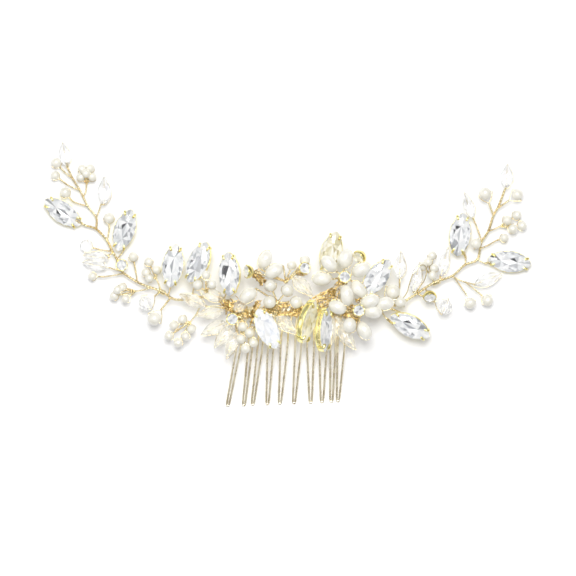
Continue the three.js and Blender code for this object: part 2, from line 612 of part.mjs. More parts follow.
STONES.forEach((spot, i) => {
  const number = twoDigits(i + 1);
  const stone = (grow) => setInPlace(solid(boatStone(grow)), spot);
  const setting = (grow) => setInPlace(grow ? settingGuard() : boatSetting(), spot);
  place(`navette_stone_${number}`, CLEAR_STONE, stone);
  place(`navette_setting_${number}`, SETTING_GOLD, setting);
});

for (const bead of THREADED) {
  place(bead[0], SPRAY_FINISH[bead[1]], (grow) => threadedBead(bead, grow));
}

for (const flower of FLOWERS) {
  const [x, y, z] = flower.centre;
  place(`${flower.name}_cup`, SETTING_GOLD, (grow) => solid(cupBody(grow).translate(x, y, z)));
  place(`${flower.name}_stone`, CLEAR_STONE, (grow) => solid(cupStone(grow).translate(x, y, z)));
  place(`${flower.name}_petals`, PEARL, (grow) => flowerPetals(flower, grow));
}

const leftLoops = THREADED.filter(([, , x]) => x < 0);
const rightLoops = THREADED.filter(([, , x]) => x > 0);
place('vine_left', GOLD_WIRE, (grow) => vine([LEFT_STEM, LEFT_BRANCH], LEFT_SPRIGS, leftLoops, grow));
place('vine_right', GOLD_WIRE, (grow) => vine([RIGHT_STEM], RIGHT_SPRIGS, rightLoops, grow));
place('lashing_wire_left', GOLD_WIRE, (grow) => lashing(-1, grow));
place('lashing_wire_right', GOLD_WIRE, (grow) => lashing(1, grow));
for (const group of SPRAYS) {
  place(group.name, SPRAY_FINISH[group.kind], (grow) => spray(group, grow));
}
place('upper_chaton', SETTING_GOLD, (grow) => {
  const { foot, lean, bearing } = UPPER_SETTING;
  return cup(...foot, lean, grow, bearing);
});

export default comb;
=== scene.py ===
# A bridal hair comb: ten wire tines on a flat rail, a vine of twisted gold wire, boat-shaped stones in
# claw settings, round stones in cups, rice and round pearls, and pointed faceted drops.
import math
import random

import bmesh
import bpy
from mathutils import Matrix, Vector, noise


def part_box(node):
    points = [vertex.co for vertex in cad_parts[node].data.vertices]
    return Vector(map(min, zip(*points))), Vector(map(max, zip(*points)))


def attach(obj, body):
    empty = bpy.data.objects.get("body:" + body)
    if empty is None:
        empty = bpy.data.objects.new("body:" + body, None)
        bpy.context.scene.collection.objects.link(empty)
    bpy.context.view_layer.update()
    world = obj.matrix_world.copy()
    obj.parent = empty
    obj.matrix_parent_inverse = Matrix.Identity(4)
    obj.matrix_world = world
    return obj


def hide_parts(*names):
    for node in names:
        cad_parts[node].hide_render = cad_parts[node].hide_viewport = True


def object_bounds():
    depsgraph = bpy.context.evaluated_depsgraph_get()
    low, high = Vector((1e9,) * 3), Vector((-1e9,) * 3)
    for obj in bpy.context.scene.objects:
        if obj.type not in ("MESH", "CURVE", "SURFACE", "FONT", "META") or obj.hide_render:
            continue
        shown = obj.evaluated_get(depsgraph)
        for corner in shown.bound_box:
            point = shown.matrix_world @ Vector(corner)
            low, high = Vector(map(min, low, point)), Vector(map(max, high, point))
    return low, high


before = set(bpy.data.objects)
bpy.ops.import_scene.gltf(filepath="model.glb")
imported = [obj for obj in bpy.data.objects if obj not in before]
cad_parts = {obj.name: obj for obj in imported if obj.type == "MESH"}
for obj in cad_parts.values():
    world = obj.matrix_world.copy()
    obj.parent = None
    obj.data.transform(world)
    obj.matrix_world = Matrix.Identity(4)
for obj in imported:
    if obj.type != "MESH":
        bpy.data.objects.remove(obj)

CAD_LOW, CAD_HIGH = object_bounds()
MM = 0.001
COMB = "comb"

# ---- Driving sizes, in millimetres ----

RAIL_LOW, RAIL_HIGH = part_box("comb_rail")
RAIL_HALF_WIDTH = (RAIL_HIGH.y - RAIL_LOW.y) / 2 / MM
RAIL_THICKNESS = (RAIL_HIGH.z - RAIL_LOW.z) / MM
FLOOR = CAD_LOW.z / MM

GAP = 0.3
TINE_COUNT = 10
TINE_PITCH = 4
TINE_WIRE = 0.75
TINE_FRONT = RAIL_THICKNESS + GAP + TINE_WIRE / 2
TINE_TIP_HEIGHT = FLOOR + TINE_WIRE / 2 + 0.02
TINE_TIP_WIDTH = 0.9
WAIST_Y = -13.7
WAIST_X = [-20.2, -15.9, -12.4, -8.5, -3.7, 1.4, 5.9, 10.4, 14, 16.9]
WAIST_WIDTH = [1.5, 1.5, 1.7, 2, 2.4, 2.1, 2.4, 2.6, 1.8, 2.4]
TIP_X = [-23.9, -18.1, -14.9, -9.6, -5.1, 0, 6, 10.1, 13.5, 15.9]
TIP_Y_LEFT = -34
TIP_Y_RIGHT = -32.4

STEM_HEIGHT = 2.9
STONE_LENGTH = 15
STONE_WIDTH = 7
SETTING_FLOOR = 0.6
SETTING_RIM = 2.1
CLAW_HEIGHT = 3.4
GIRDLE_HEIGHT = 2.4
BORE_RADIUS = 0.6
BOAT_POINT = 1.4
CLAW = 0.4               # half thickness of a prong
STEEP_CLAW = 0.55
STEEP_ROLL = 45          # degrees of roll past which a setting shows its wall
LEANING_CUP = 1.15       # how much larger a cup that leans past LEANING_FROM looks
LEANING_FROM = 40
STRAND = 0.15            # radius of one strand of the thin wire
STEM_STRAND = 0.23
BINDING = 0.17           # radius of the wire that binds knots and lashings
LOOP_FOOT = 1.5          # where a turning bead's loop closes, out from the bead

# ---- Layout: the same places as the imported comb ----

# Boat-shaped stones: x, y, turn about Z, height of the underside, roll about the long axis.
STONES = [
    (-83.6, 36, 144.5, FLOOR, 0),
    (-61.2, 29.5, 72, -2.6, 0),
    (-43.6, 16.7, 81.5, 1.2, 0),
    (-34.4, 17.8, 67, 2.6, -16),
    (-23.2, 13.7, 92, 4.4, -14),
    (-9.7, -5.9, 115.5, 6.6, 4),
    (4.8, -3.3, 74, 6.8, 58),
    (10.8, -6.2, 86, 6.4, 58),
    (13.2, 21.3, 75, 2.6, 0),
    (29.6, 12.4, 54, 4, 6),
    (41.8, -4.9, -28, 0.6, 14),
    (59.9, 27.9, 82, -2.6, 0),
    (77.8, 18.2, -7, FLOOR, 0),
]

LEFT_STEM = [
    (-5, 0), (-17, 0), (-21, 1), (-25.5, 4), (-33, 5.4), (-42.5, 4.5), (-48, 7.6), (-55.5, 10.3),
    (-62.3, 14.8), (-64, 19), (-65.7, 22), (-67.7, 26), (-71.5, 30), (-75.6, 31.4),
]
LEFT_BRANCH = [(-71.5, 30), (-71.5, 34.2), (-74.5, 38.2), (-77.4, 44), (-80, 48.2), (-82, 52.5)]
RIGHT_STEM = [
    (5, 0), (18, 0), (24, 1), (31, 2), (37, 2.6), (42.5, 5.5), (50.3, 10.5), (57, 13), (61.6, 17),
    (66.2, 19), (67.6, 25), (70.2, 29.3), (72, 34.8), (74, 38.5), (76.1, 44.2),
]
HEIGHT_KNOTS = [(0, STEM_HEIGHT), (19, STEM_HEIGHT), (26, 1.1), (45, 0.2), (60, -1.2), (75, -2), (95, -2.2)]

# Sprigs: a stalk from the stem outwards, then what its end carries.
# Pearls and faceted beads: x, y, diameter, lift. Drops and rice pearls: x, y, turn, length, width, lift.
# Cups: x, y, lift, lean, and the bearing of the lean where it isn't 0.
LEFT_SPRIGS = [
    {"wire": [(-82, 52.5), (-82.2, 54)], "drops": [(-82.9, 57.1, 100, 8.6, 4.6, 1)]},
    {"wire": [(-80, 48.2), (-83, 50.6)], "pearls": [(-86, 54, 3.7, 0.6)]},
    {"wire": [(-77.4, 44), (-82, 46)], "pearls": [(-86.4, 49.4, 3.2, 0.6)]},
    {"wire": [(-76.2, 41.8), (-75.3, 43.5), (-75, 46.4)],
     "pearls": [(-77.1, 48.8, 3.1, 0.8), (-72.9, 48.8, 3.1, 0.8), (-75, 50, 3.1, 2.2),
                (-76.6, 51.8, 3.1, 0.8), (-73.6, 52, 3.1, 0.8)]},
    {"wire": [(-74.5, 38.2), (-79.9, 39.9)], "pearls": [(-82.8, 43.2, 3.8, 0.6)]},
    {"wire": [(-71.5, 34.2), (-69.8, 39)], "drops": [(-68.5, 44, 92, 9.8, 5, 1.2)]},
    {"wire": [(-67.7, 26), (-66.8, 30)], "pearls": [(-66.8, 34, 3.8, 0.8)]},
    {"wire": [(-65.7, 22), (-70.5, 22.6)], "beads": [(-75.2, 24, 4.4, 0.6)]},
    {"wire": [(-65.4, 21.5), (-67.6, 20.4)], "drops": [(-71.4, 19.9, 174, 9, 4.2, 1.9)]},
    {"wire": [(-62.3, 14.8), (-67.2, 16.2)], "drops": [(-72, 17, 168, 9, 4.2, 0.6)]},
    {"wire": [(-61.7, 14), (-68.7, 12.8)], "pearls": [(-73, 12.9, 3, 0.4)]},
    {"wire": [(-62.7, 16), (-62.3, 16.6)], "cups": [(-62.1, 17, 2, 0)]},
    {"wire": [(-64, 19), (-60.6, 24)]},
    {"wire": [(-45.4, 6), (-44.2, 12)]},
    {"wire": [(-37, 5), (-35.6, 13)]},
    {"wire": [(-25.5, 4), (-23.6, 10)]},
    {"wire": [(-56.7, 11), (-57.2, 14.6)], "pearls": [(-58.1, 20, 3.3, 1)]},
    {"wire": [(-48, 7.6), (-49.7, 12)],
     "pearls": [(-52.5, 18.2, 3.1, 1), (-53.5, 14.3, 3.1, 1.4), (-49.6, 15.3, 3.1, 1.4),
                (-52.2, 12.2, 3.1, 2.4)]},
    {"wire": [(-52, 8.7), (-57, 7.6)],
     "pearls": [(-62.1, 9, 3.1, 1.4), (-65, 5.8, 3.1, 1), (-60.8, 4.7, 3.1, 1), (-63.6, 8, 3.1, 2.6)]},
    {"wire": [(-33.5, 5.2), (-34.6, 0.5), (-37.4, -3.6)],
     "pearls": [(-40.3, -2.6, 3.2, 1.2), (-43.4, -4.8, 3.2, 1), (-37, -6.2, 3.2, 1), (-45.2, -8.6, 3.2, 1),
                (-39.2, -8.8, 3.2, 1.4), (-41.8, -11.1, 3.2, 1)]},
]
RIGHT_SPRIGS = [
    {"wire": [(76.1, 44.2), (76.4, 45.4)], "drops": [(76.8, 49.2, 88, 8.6, 4.6, 1)]},
    {"wire": [(67.6, 26), (66.2, 30.2), (64.6, 34)], "drops": [(62.9, 38.5, 109, 9.4, 4, 1)]},
    {"wire": [(70.2, 29.3), (74.5, 31)],
     "pearls": [(77, 33.2, 3.4, 1), (80.5, 35, 3.4, 1.2), (82.4, 31.2, 3.4, 0.8), (79, 30, 3.4, 1.6)]},
    {"wire": [(67.5, 23), (73.1, 25.9)], "pearls": [(76, 26.8, 3.1, 0.6)]},
    {"wire": [(66.2, 19), (68.9, 17.6)]},
    {"wire": [(67.3, 24), (66.4, 24.4)], "pearls": [(65.6, 24.7, 3.7, 2)]},
    {"wire": [(57, 13), (60.6, 11.2), (65.1, 10)], "drops": [(70.2, 12, 22, 10.6, 4.8, 1)]},
    {"wire": [(61.6, 11.1), (67.4, 6.4)], "pearls": [(69.9, 4.2, 4.2, 0.6)]},
    {"wire": [(57.6, 12.6), (59.4, 10.4), (62.4, 6)], "pearls": [(63.6, 3.2, 4.1, 0.6)]},
    {"wire": [(61.6, 17), (62, 19.4)]},
    {"wire": [(52.4, 11.2), (52.8, 13.4)], "drops": [(54.1, 18, 76, 10.4, 4, 1.4)]},
    {"wire": [(50.4, 10.6), (49.6, 13)],
     "pearls": [(49.7, 20.5, 3.1, 1.2), (48.3, 18.2, 3.1, 1.4), (46.4, 16.6, 3.1, 1.6),
                (50.4, 15.8, 3.1, 2), (49.8, 13.2, 3.1, 2)]},
    {"wire": [(43.8, 6.6), (44.8, 8.4)], "drops": [(44, 12.6, 78, 10.6, 4.4, 2)]},
    {"wire": [(37, 2.6), (38, 9)], "drops": [(38.1, 16.9, 88, 9.4, 4.4, 2.6)]},
    {"wire": [(47, 8.6), (48, 7.6)], "cups": [(48.7, 7, 2, 55, -85)]},
    {"wire": [(31, 2), (31.6, 0.6), (34.6, 1.2), (38.4, 0)]},
    {"wire": [(31.3, 1.5), (32, -0.6), (34, -3), (36.2, -4.8)]},
    {"wire": [(36.8, 2.6), (37.6, 3)], "pearls": [(38.3, 3.6, 4, 3)]},
]

# Beads that turn on a wire loop: node, x, y, diameter, stalk root, lift over the stem.
THREADED = [
    ("crystal_bead_left", -53.5, 3.2, 5.2, (-48, 7.5), 2),
    ("crystal_bead_right", 54.5, 1.9, 5.2, (44.5, 6.6), 2),
    ("turning_pearl_left", -50.4, -2.4, 4.8, (-44.4, 5.4), 2),
    ("turning_pearl_right", 68.9, 42.8, 4.4, (72, 34.8), 1.6),
    ("turning_pearl_far_right", 80.6, 42.4, 4.1, (73.6, 37.6), 1.6),
    ("turning_pearl_inner_right", 35.6, 7.4, 5.2, (31, 2), 1.9),
]

# Sprays over the comb: root, then beads with heights of their own instead of lifts.
SPRAYS = [
    {"node": "drop_fan_left", "root": (-21.5, 1, 4.6), "tint": "champagne",
     "drops": [(-36.8, 4.4, 155, 10, 4.6, 3.9), (-30, 6.6, 157, 10, 4.8, 4.6),
               (-29.9, -0.3, 193, 10, 4.8, 3.6), (-29.1, -5.8, 207, 10, 4.8, 3.4),
               (-25.3, -8.8, 232, 10, 4.8, 3.4), (-22.6, -11.8, 250, 10, 4.6, 4.8)]},
    {"node": "pearl_cluster_lower", "root": (-19, -1.5, 5.2), "tint": "champagne",
     "pearls": [(-18.6, -5.2, 3.4, 5.6), (-16, -7.4, 3.4, 5.2), (-19.2, -9.6, 3.4, 5.6),
                (-14.6, -11, 3.4, 5), (-17.5, -13.1, 3.4, 5.2)],
     "beads": [(-19.6, 2, 4.6, 6.6)],
     "cups": [(-22.1, -2.4, 8, 0)]},
    {"node": "pearl_spray_left", "root": (-31.6, 7.5, 7), "tint": "clear",
     "pearls": [(-31.6, 13.4, 3.2, 6.8), (-34.6, 9.8, 3.5, 7.6), (-29.4, 10, 3.2, 8.4)]},
    {"node": "pearl_spray_centre", "root": (-6, 3.6, 5), "tint": "champagne",
     "pearls": [(-8.5, 9.6, 4.1, 6.8), (-2.4, 7.9, 4.3, 7), (-8.8, 3.6, 4.5, 6.6), (0.8, 3.5, 4.3, 6.2)],
     "rice": [(-16.6, 6, 43, 7, 4.8, 6.4)],
     "drops": [(-2.6, -4.6, -40, 9.4, 5, 4.8)]},
    {"node": "pearl_spray_upper", "root": (-3, 11, 4.4), "tint": "champagne",
     "pearls": [(-0.8, 17, 3.2, 5), (4, 18.7, 3.4, 4.8)],
     "rice": [(-10.4, 18.9, 63, 7, 4.6, 5), (-7.2, 14.8, 31, 7, 4.8, 6)],
     "drops": [(3.3, 9.4, -44, 9.4, 5, 4.6)],
     "cups": [(3.2, 15.9, 6, 20), (-15, 14.6, 7, -70)]},
    {"node": "drop_fan_right", "root": (14, -1.4, 4.6), "tint": "champagne",
     "drops": [(13.6, -6.8, 267, 10, 4.4, 3.9), (16.2, -6, -66, 10, 4.4, 4.6),
               (19.2, -9.4, -52, 9.6, 4.6, 4.4)]},
]

# Flowers: the cup in the middle, then petals as x, y, turn, length, width, height.
FLOWERS = [
    {"name": "upper_flower", "centre": (18.1, 12.7, 9.2),
     "petals": [(9.9, 11.9, 0, 7, 4.8, 6.6), (12.6, 17.4, 132, 7, 4.8, 8.4), (18.4, 19.2, 80, 7, 4.8, 7.6),
                (24, 15.2, 28, 7, 4.8, 9), (18.9, 6.1, 98, 7.6, 4.8, 8.8), (23.2, 8.2, 130, 7, 4.6, 7)]},
    {"name": "lower_flower", "centre": (23.1, 0.7, 9.2),
     "petals": [(15.6, 1.8, -22, 6.8, 4.8, 8), (28, 0.2, -6, 7, 4.8, 7.4), (25.2, -6.6, -60, 7, 4.8, 7.4),
                (19.9, -4.7, 90, 5.4, 4.8, 8.2), (32.4, 3.2, 5, 7, 4.8, 6.6), (27.2, 3.9, 20, 7, 4.6, 8.8)]},
]
UPPER_CHATON = (24.7, 20.7, 4.8, 58)     # x, y, height, lean
UPPER_CHATON_SIZE = 1.2
UPPER_CHATON_BEARING = 215


# ---- Materials ----

def new_material(name):
    material = bpy.data.materials.new(name)
    material.use_nodes = True
    tree = material.node_tree
    return material, tree, tree.nodes["Principled BSDF"]


def noise_node(tree, scale, detail=4, roughness=0.55):
    coords = tree.nodes.new("ShaderNodeTexCoord")
    node = tree.nodes.new("ShaderNodeTexNoise")
    node.inputs["Scale"].default_value = scale
    node.inputs["Detail"].default_value = detail
    node.inputs["Roughness"].default_value = roughness
    tree.links.new(coords.outputs["Object"], node.inputs["Vector"])
    return node


def ramp(tree, source, socket, stops):
    """Feeds `socket` from `source` through a colour ramp of (position, colour) stops."""
    node = tree.nodes.new("ShaderNodeValToRGB")
    elements = node.color_ramp.elements
    for index, (position, colour) in enumerate(stops):
        element = elements[index] if index < 2 else elements.new(position)
        element.position = position
        element.color = (*colour, 1)
    tree.links.new(source, node.inputs["Fac"])
    tree.links.new(node.outputs["Color"], socket)


def spread(tree, source, socket, low, high):
    node = tree.nodes.new("ShaderNodeMapRange")
    node.inputs["From Min"].default_value = 0.3
    node.inputs["From Max"].default_value = 0.7
    node.inputs["To Min"].default_value = low
    node.inputs["To Max"].default_value = high
    tree.links.new(source, node.inputs["Value"])
    tree.links.new(node.outputs["Result"], socket)


def bump(tree, source, socket, strength, distance):
    node = tree.nodes.new("ShaderNodeBump")
    node.inputs["Strength"].default_value = strength
    node.inputs["Distance"].default_value = distance
    tree.links.new(source, node.inputs["Height"])
    tree.links.new(node.outputs["Normal"], socket)


def metal(name, dark, light, smooth, rough, tarnish_scale=260, lift=0.0):
    """Plated metal: tone and polish vary in soft patches, with fine drawing marks; with `lift` set it also
    carries a painted glow that brightens it as if more lit.
    """
    material, tree, shader = new_material(name)
    shader.inputs["Metallic"].default_value = 1
    patches = noise_node(tree, tarnish_scale)
    ramp(tree, patches.outputs["Fac"], shader.inputs["Base Color"], [(0.35, dark), (0.62, light)])
    spread(tree, patches.outputs["Fac"], shader.inputs["Roughness"], smooth, rough)
    marks = noise_node(tree, 4200, 3)
    bump(tree, marks.outputs["Fac"], shader.inputs["Normal"], 0.18, 0.00005)
    # Painted light: the metal glows faintly in its own colours.
    if lift:
        glow(tree, shader, patches.outputs["Fac"], [(0.35, dark), (0.62, light)], lift)
    return material


def pearl_material(name, shade, light):
    """Nacre: a milky body under a clear coat, faintly clouded, with a fine orange-peel skin and a faint
    painted glow that lifts its shaded side.
    """
    material, tree, shader = new_material(name)
    clouds = noise_node(tree, 420, 3)
    ramp(tree, clouds.outputs["Fac"], shader.inputs["Base Color"], [(0.3, shade), (0.68, light)])
    spread(tree, clouds.outputs["Fac"], shader.inputs["Roughness"], 0.3, 0.42)
    # Painted light: the pearl glows faintly in its own colours, as if filled with light from below.
    glow(tree, shader, clouds.outputs["Fac"], [(0.3, shade), (0.68, light)], 0.12)
    shader.inputs["IOR"].default_value = 1.3
    shader.inputs["Coat Weight"].default_value = 1
    shader.inputs["Coat Roughness"].default_value = 0.055
    shader.inputs["Coat IOR"].default_value = 1.85
    shader.inputs["Sheen Weight"].default_value = 0.08
    shader.inputs["Sheen Tint"].default_value = (1, 0.95, 0.86, 1)
    skin = noise_node(tree, 1900, 2)
    bump(tree, skin.outputs["Fac"], shader.inputs["Normal"], 0.12, 0.00006)
    return material


def painted_facet_reflection(tree, *sockets):
    """The reflection that is painted on each facet, as a tone from bright to dark."""
    tone = tree.nodes.new("ShaderNodeVertexColor")
    tone.layer_name = "painted_facet_reflection"
    for socket in sockets:
        tree.links.new(tone.outputs["Color"], socket)


def glass(name, low, high, ior, rough, clear=1.0, lift=0.0):
    """Cut glass: a faint uneven tint, a painted reflection tone for each facet, slightly worn polish, and a
    faint painted glow in its tint when `lift` is set.
    """
    material, tree, shader = new_material(name)
    shader.inputs["Transmission Weight"].default_value = clear
    shader.inputs["IOR"].default_value = ior
    tint = noise_node(tree, 300, 2)
    mixed = tree.nodes.new("ShaderNodeMixRGB")
    mixed.blend_type = "MULTIPLY"
    mixed.inputs["Fac"].default_value = 1
    ramp(tree, tint.outputs["Fac"], mixed.inputs["Color1"], [(0.35, low), (0.65, high)])
    painted_facet_reflection(tree, mixed.inputs["Color2"])
    tree.links.new(mixed.outputs["Color"], shader.inputs["Base Color"])
    spread(tree, tint.outputs["Fac"], shader.inputs["Roughness"], rough * 0.4, rough)
    # Painted light: the glass glows faintly in its own tint.
    glow(tree, shader, tint.outputs["Fac"], [(0.35, low), (0.65, high)], lift)
    return material


def crown_material():
    """The polished top of a cut stone, each facet painted with a slight reflection tone."""
    material, tree, shader = new_material("stone_glass")
    shader.inputs["Transmission Weight"].default_value = 0.94
    shader.inputs["IOR"].default_value = 1.52
    painted_facet_reflection(tree, shader.inputs["Base Color"])
    wear = noise_node(tree, 700, 3)
    spread(tree, wear.outputs["Fac"], shader.inputs["Roughness"], 0.01, 0.05)
    return material


def glow(tree, shader, source, stops, strength):
    """A faint glow in the surface's own colours, for what the facets gather from all round: painted light on
    the metals, pearls and drops; on the floor it only keeps the sweep evenly bright.
    """
    ramp(tree, source, shader.inputs["Emission Color"], stops)
    shader.inputs["Emission Strength"].default_value = strength


def foil_material():
    """Mirror foil behind a stone: each facet keeps the reflection painted on it and glows with it as painted
    light, with slight crazing.
    """
    material, tree, shader = new_material("stone_foil")
    shader.inputs["Metallic"].default_value = 0.25
    # Painted reflections give each facet its tone, and the foil glows with them as painted light.
    painted_facet_reflection(tree, shader.inputs["Base Color"], shader.inputs["Emission Color"])
    shader.inputs["Emission Strength"].default_value = 0.26
    grain = noise_node(tree, 900, 3)
    spread(tree, grain.outputs["Fac"], shader.inputs["Roughness"], 0.12, 0.3)
    bump(tree, grain.outputs["Fac"], shader.inputs["Normal"], 0.08, 0.00005)
    return material


def floor_material():
    material, tree, shader = new_material("white_sweep")
    paper = noise_node(tree, 60, 5)
    stops = [(0.3, (0.8, 0.8, 0.805)), (0.7, (0.82, 0.82, 0.82))]
    ramp(tree, paper.outputs["Fac"], shader.inputs["Base Color"], stops)
    glow(tree, shader, paper.outputs["Fac"], stops, 0.2)
    spread(tree, paper.outputs["Fac"], shader.inputs["Roughness"], 0.75, 0.9)
    return material


# The comb metal and the setting gold carry a faint painted glow (the last argument); the lemon gold is a lit
# copy of the setting gold with a strong painted glow, for the steep settings.
COMB_METAL = metal("comb_metal", (0.8, 0.7, 0.5), (0.97, 0.9, 0.7), 0.2, 0.36, 260, 0.05)
GOLD_WIRE = metal("gold_wire", (0.76, 0.61, 0.32), (0.98, 0.9, 0.62), 0.1, 0.24)
# A darker copy of the wire gold: painted shade, for wire that lies deep among the beads.
SHADED_WIRE_GOLD = metal("gold_wire_painted_shade", (0.4, 0.25, 0.06), (0.92, 0.73, 0.35), 0.14, 0.32, 700)
SETTING_GOLD = metal("setting_gold", (0.86, 0.69, 0.22), (1, 0.95, 0.5), 0.12, 0.34, 520, 0.05)
LEMON_GOLD_PAINTED_GLOW = metal("lemon_gold_painted_glow", (0.9, 0.76, 0.26), (1, 0.96, 0.52), 0.12, 0.34, 520, 0.28)
PEARL = pearl_material("pearl", (0.69, 0.665, 0.57), (0.83, 0.815, 0.745))
RICE_PEARL = pearl_material("rice_pearl", (0.71, 0.685, 0.6), (0.85, 0.84, 0.78))
STONE_GLASS = crown_material()
FOIL = foil_material()
# Both drop glasses carry a faint painted glow (the last argument).
DROP_GLASS = {
    "clear": glass("drop_clear", (0.93, 0.93, 0.91), (1, 1, 1), 1.4, 0.06, 0.86, 0.1),
    "champagne": glass("drop_champagne", (0.96, 0.93, 0.84), (1, 0.985, 0.93), 1.42, 0.06, 0.84, 0.1),
}


# ---- Making pieces ----

def finish_piece(piece, body, materials, nodes=()):
    for material in materials:
        piece.data.materials.append(material)
    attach(piece, body)
    if nodes:
        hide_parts(*nodes)
    return piece


def new_object(name, data):
    made = bpy.data.objects.new(name, data)
    bpy.context.scene.collection.objects.link(made)
    return made


def mesh_piece(name, build, smooth=True):
    """A mesh object filled by build(bm), which works in millimetres."""
    mesh = bpy.data.meshes.new(name)
    bm = bmesh.new()
    build(bm)
    bmesh.ops.recalc_face_normals(bm, faces=bm.faces)
    for face in bm.faces:
        face.smooth = smooth
    bm.to_mesh(mesh)
    bm.free()
    mesh.transform(Matrix.Scale(MM, 4))
    return new_object(name, mesh)


def put(piece, x, y, z, turn=0, lean=0):
    spin = Matrix.Rotation(math.radians(turn), 4, "Z") @ Matrix.Rotation(math.radians(lean), 4, "Y")
    piece.matrix_world = Matrix.Translation(Vector((x, y, z)) * MM) @ spin
    return piece


def stem_height(x):
    distance = abs(x)
    for (near, high), (far, low) in zip(HEIGHT_KNOTS, HEIGHT_KNOTS[1:]):
        if near <= distance < far:
            t = (distance - near) / (far - near)
            return high + (low - high) * t * t * (3 - 2 * t)
    return HEIGHT_KNOTS[-1][1]


def raised(point, lift=0):
    return Vector((point[0], point[1], stem_height(point[0]) + lift))


def smooth_path(points, step):
    """A Catmull-Rom curve through the points, sampled about every `step`."""
    points = [Vector(p) for p in points]
    ends = [2 * points[0] - points[1], *points, 2 * points[-1] - points[-2]]
    path = []
    for a, b, c, d in zip(ends, ends[1:], ends[2:], ends[3:]):
        count = max(1, round((c - b).length / step))
        for i in range(count):
            t = i / count
            path.append(0.5 * (2 * b + (c - a) * t + (2 * a - 5 * b + 4 * c - d) * t * t
                               + (3 * b - a - 3 * c + d) * t ** 3))
    path.append(points[-1])
    return path


def frames_along(path):
    """Unit sideways vectors carried along the path without twisting."""
    side = (path[1] - path[0]).orthogonal().normalized()
    frames = []
    for i, point in enumerate(path):
        along = (path[min(i + 1, len(path) - 1)] - path[max(i - 1, 0)]).normalized()
        side = (side - along * side.dot(along)).normalized()
        frames.append((point, side, along.cross(side)))
    return frames


def strands(path, count, reach, pitch, start=0.0):
    """Helical strands round a path; reach is a number or a function of the share of the path."""
    frames = frames_along(path)
    lines = [[] for _ in range(count)]
    travelled = 0.0
    for i, (point, side, up) in enumerate(frames):
        if i:
            travelled += (point - frames[i - 1][0]).length
        out = reach(i / len(frames)) if callable(reach) else reach
        for k, line in enumerate(lines):
            angle = start + 2 * math.pi * (travelled / pitch + k / count)
            line.append(point + (side * math.cos(angle) + up * math.sin(angle)) * out)
    return lines


def wire_piece(name, lines, radius, material=None, sides=2, nodes=()):
    """One curve object holding round wires; lines are lists of points in millimetres."""
    curve = bpy.data.curves.new(name, "CURVE")
    curve.dimensions = "3D"
    curve.bevel_depth = radius * MM
    curve.bevel_resolution = sides
    curve.use_fill_caps = True
    for line in lines:
        spline = curve.splines.new("POLY")
        spline.points.add(len(line) - 1)
        for target, point in zip(spline.points, line):
            target.co = (*(Vector(point) * MM), 1)
    return finish_piece(new_object(name, curve), COMB, [material or GOLD_WIRE], nodes)


def twisted(name, points, count, strand, pitch, nodes=(), taper=1.0):
    path = smooth_path(points, pitch / 9)
    reach = strand * 1.55
    lines = strands(path, count, lambda share: reach * (1 + (taper - 1) * share), pitch)
    return wire_piece(name, lines, strand, nodes=nodes)


# ---- Comb ----

def dress_rail():
    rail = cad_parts["comb_rail"]
    rail.data.materials.clear()
    rail.data.materials.append(COMB_METAL)
    softened = rail.modifiers.new("edges", "BEVEL")
    softened.width = 0.12 * MM
    softened.segments = 3
    softened.limit_method = "ANGLE"


def leg_points(index, side):
    rail_x = (index - (TINE_COUNT - 1) / 2) * TINE_PITCH + side * TINE_PITCH / 4
    waist_x = WAIST_X[index] + side * WAIST_WIDTH[index] / 2
    tip_x = TIP_X[index] + side * TINE_TIP_WIDTH / 2
    tip_y = TIP_Y_LEFT + (TIP_Y_RIGHT - TIP_Y_LEFT) * index / (TINE_COUNT - 1) + TINE_TIP_WIDTH
    edge = RAIL_HALF_WIDTH + GAP + TINE_WIRE / 2
    return [
        (rail_x, edge, TINE_WIRE / 2),
        (rail_x, edge, TINE_FRONT - 0.35),
        (rail_x, edge - 0.5, TINE_FRONT),
        (rail_x, -edge, TINE_FRONT),
        ((rail_x + 2 * waist_x) / 3, -6, TINE_FRONT - 0.1),
        (waist_x, WAIST_Y, 0.9),
        ((waist_x + tip_x) / 2, (WAIST_Y + tip_y) / 2, -1.2),
        (tip_x, tip_y, TINE_TIP_HEIGHT),
    ]


def make_tines():
    for index in range(TINE_COUNT):
        left = leg_points(index, -1)
        right = leg_points(index, 1)[::-1]
        tip = (TIP_X[index], left[-1][1] - TINE_TIP_WIDTH * 0.6, TINE_TIP_HEIGHT)
        node = f"tine_{index + 1:02d}"
        line = smooth_path([*left, tip, *right], 0.35)
        wire_piece(f"{node}_wire", [line], TINE_WIRE / 2, COMB_METAL, 4, [node])


def coil_round(path, radius, pitch):
    """One close winding of wire round a path."""
    return strands(smooth_path(path, pitch / 12), 1, radius, pitch)[0]


def lashing_line(side, turn_x, lean):
    """One loop of lashing: behind the rail, up past its edges, and over the stem."""
    back = -0.24
    edge = RAIL_HALF_WIDTH + 0.5
    front = STEM_HEIGHT + 1.15
    x = side * turn_x
    return [
        (x, -edge + 0.3, back), (x, edge - 0.3, back), (x, edge, 0.5), (x, edge, 2.2),
        (x + lean * 0.3, edge - 1.1, front - 0.3), (x + lean, 0, front),
        (x + lean * 1.4, -edge + 1.1, front - 0.3), (x + lean * 0.6, -edge, 2.2),
        (x, -edge, 0.5), (x, -edge + 0.25, back),
    ]


def make_lashings():
    for side, label in ((-1, "left"), (1, "right")):
        loops = [
            smooth_path(lashing_line(side, x + offset, lean), 0.25)
            for x in (8, 12, 16)
            for offset, lean in ((-0.22, 0.9), (0.22, 0.4))
        ]
        wire_piece(f"lashing_{label}", loops, BINDING, nodes=[f"lashing_wire_{label}"])


# ---- Boat-shaped stones ----

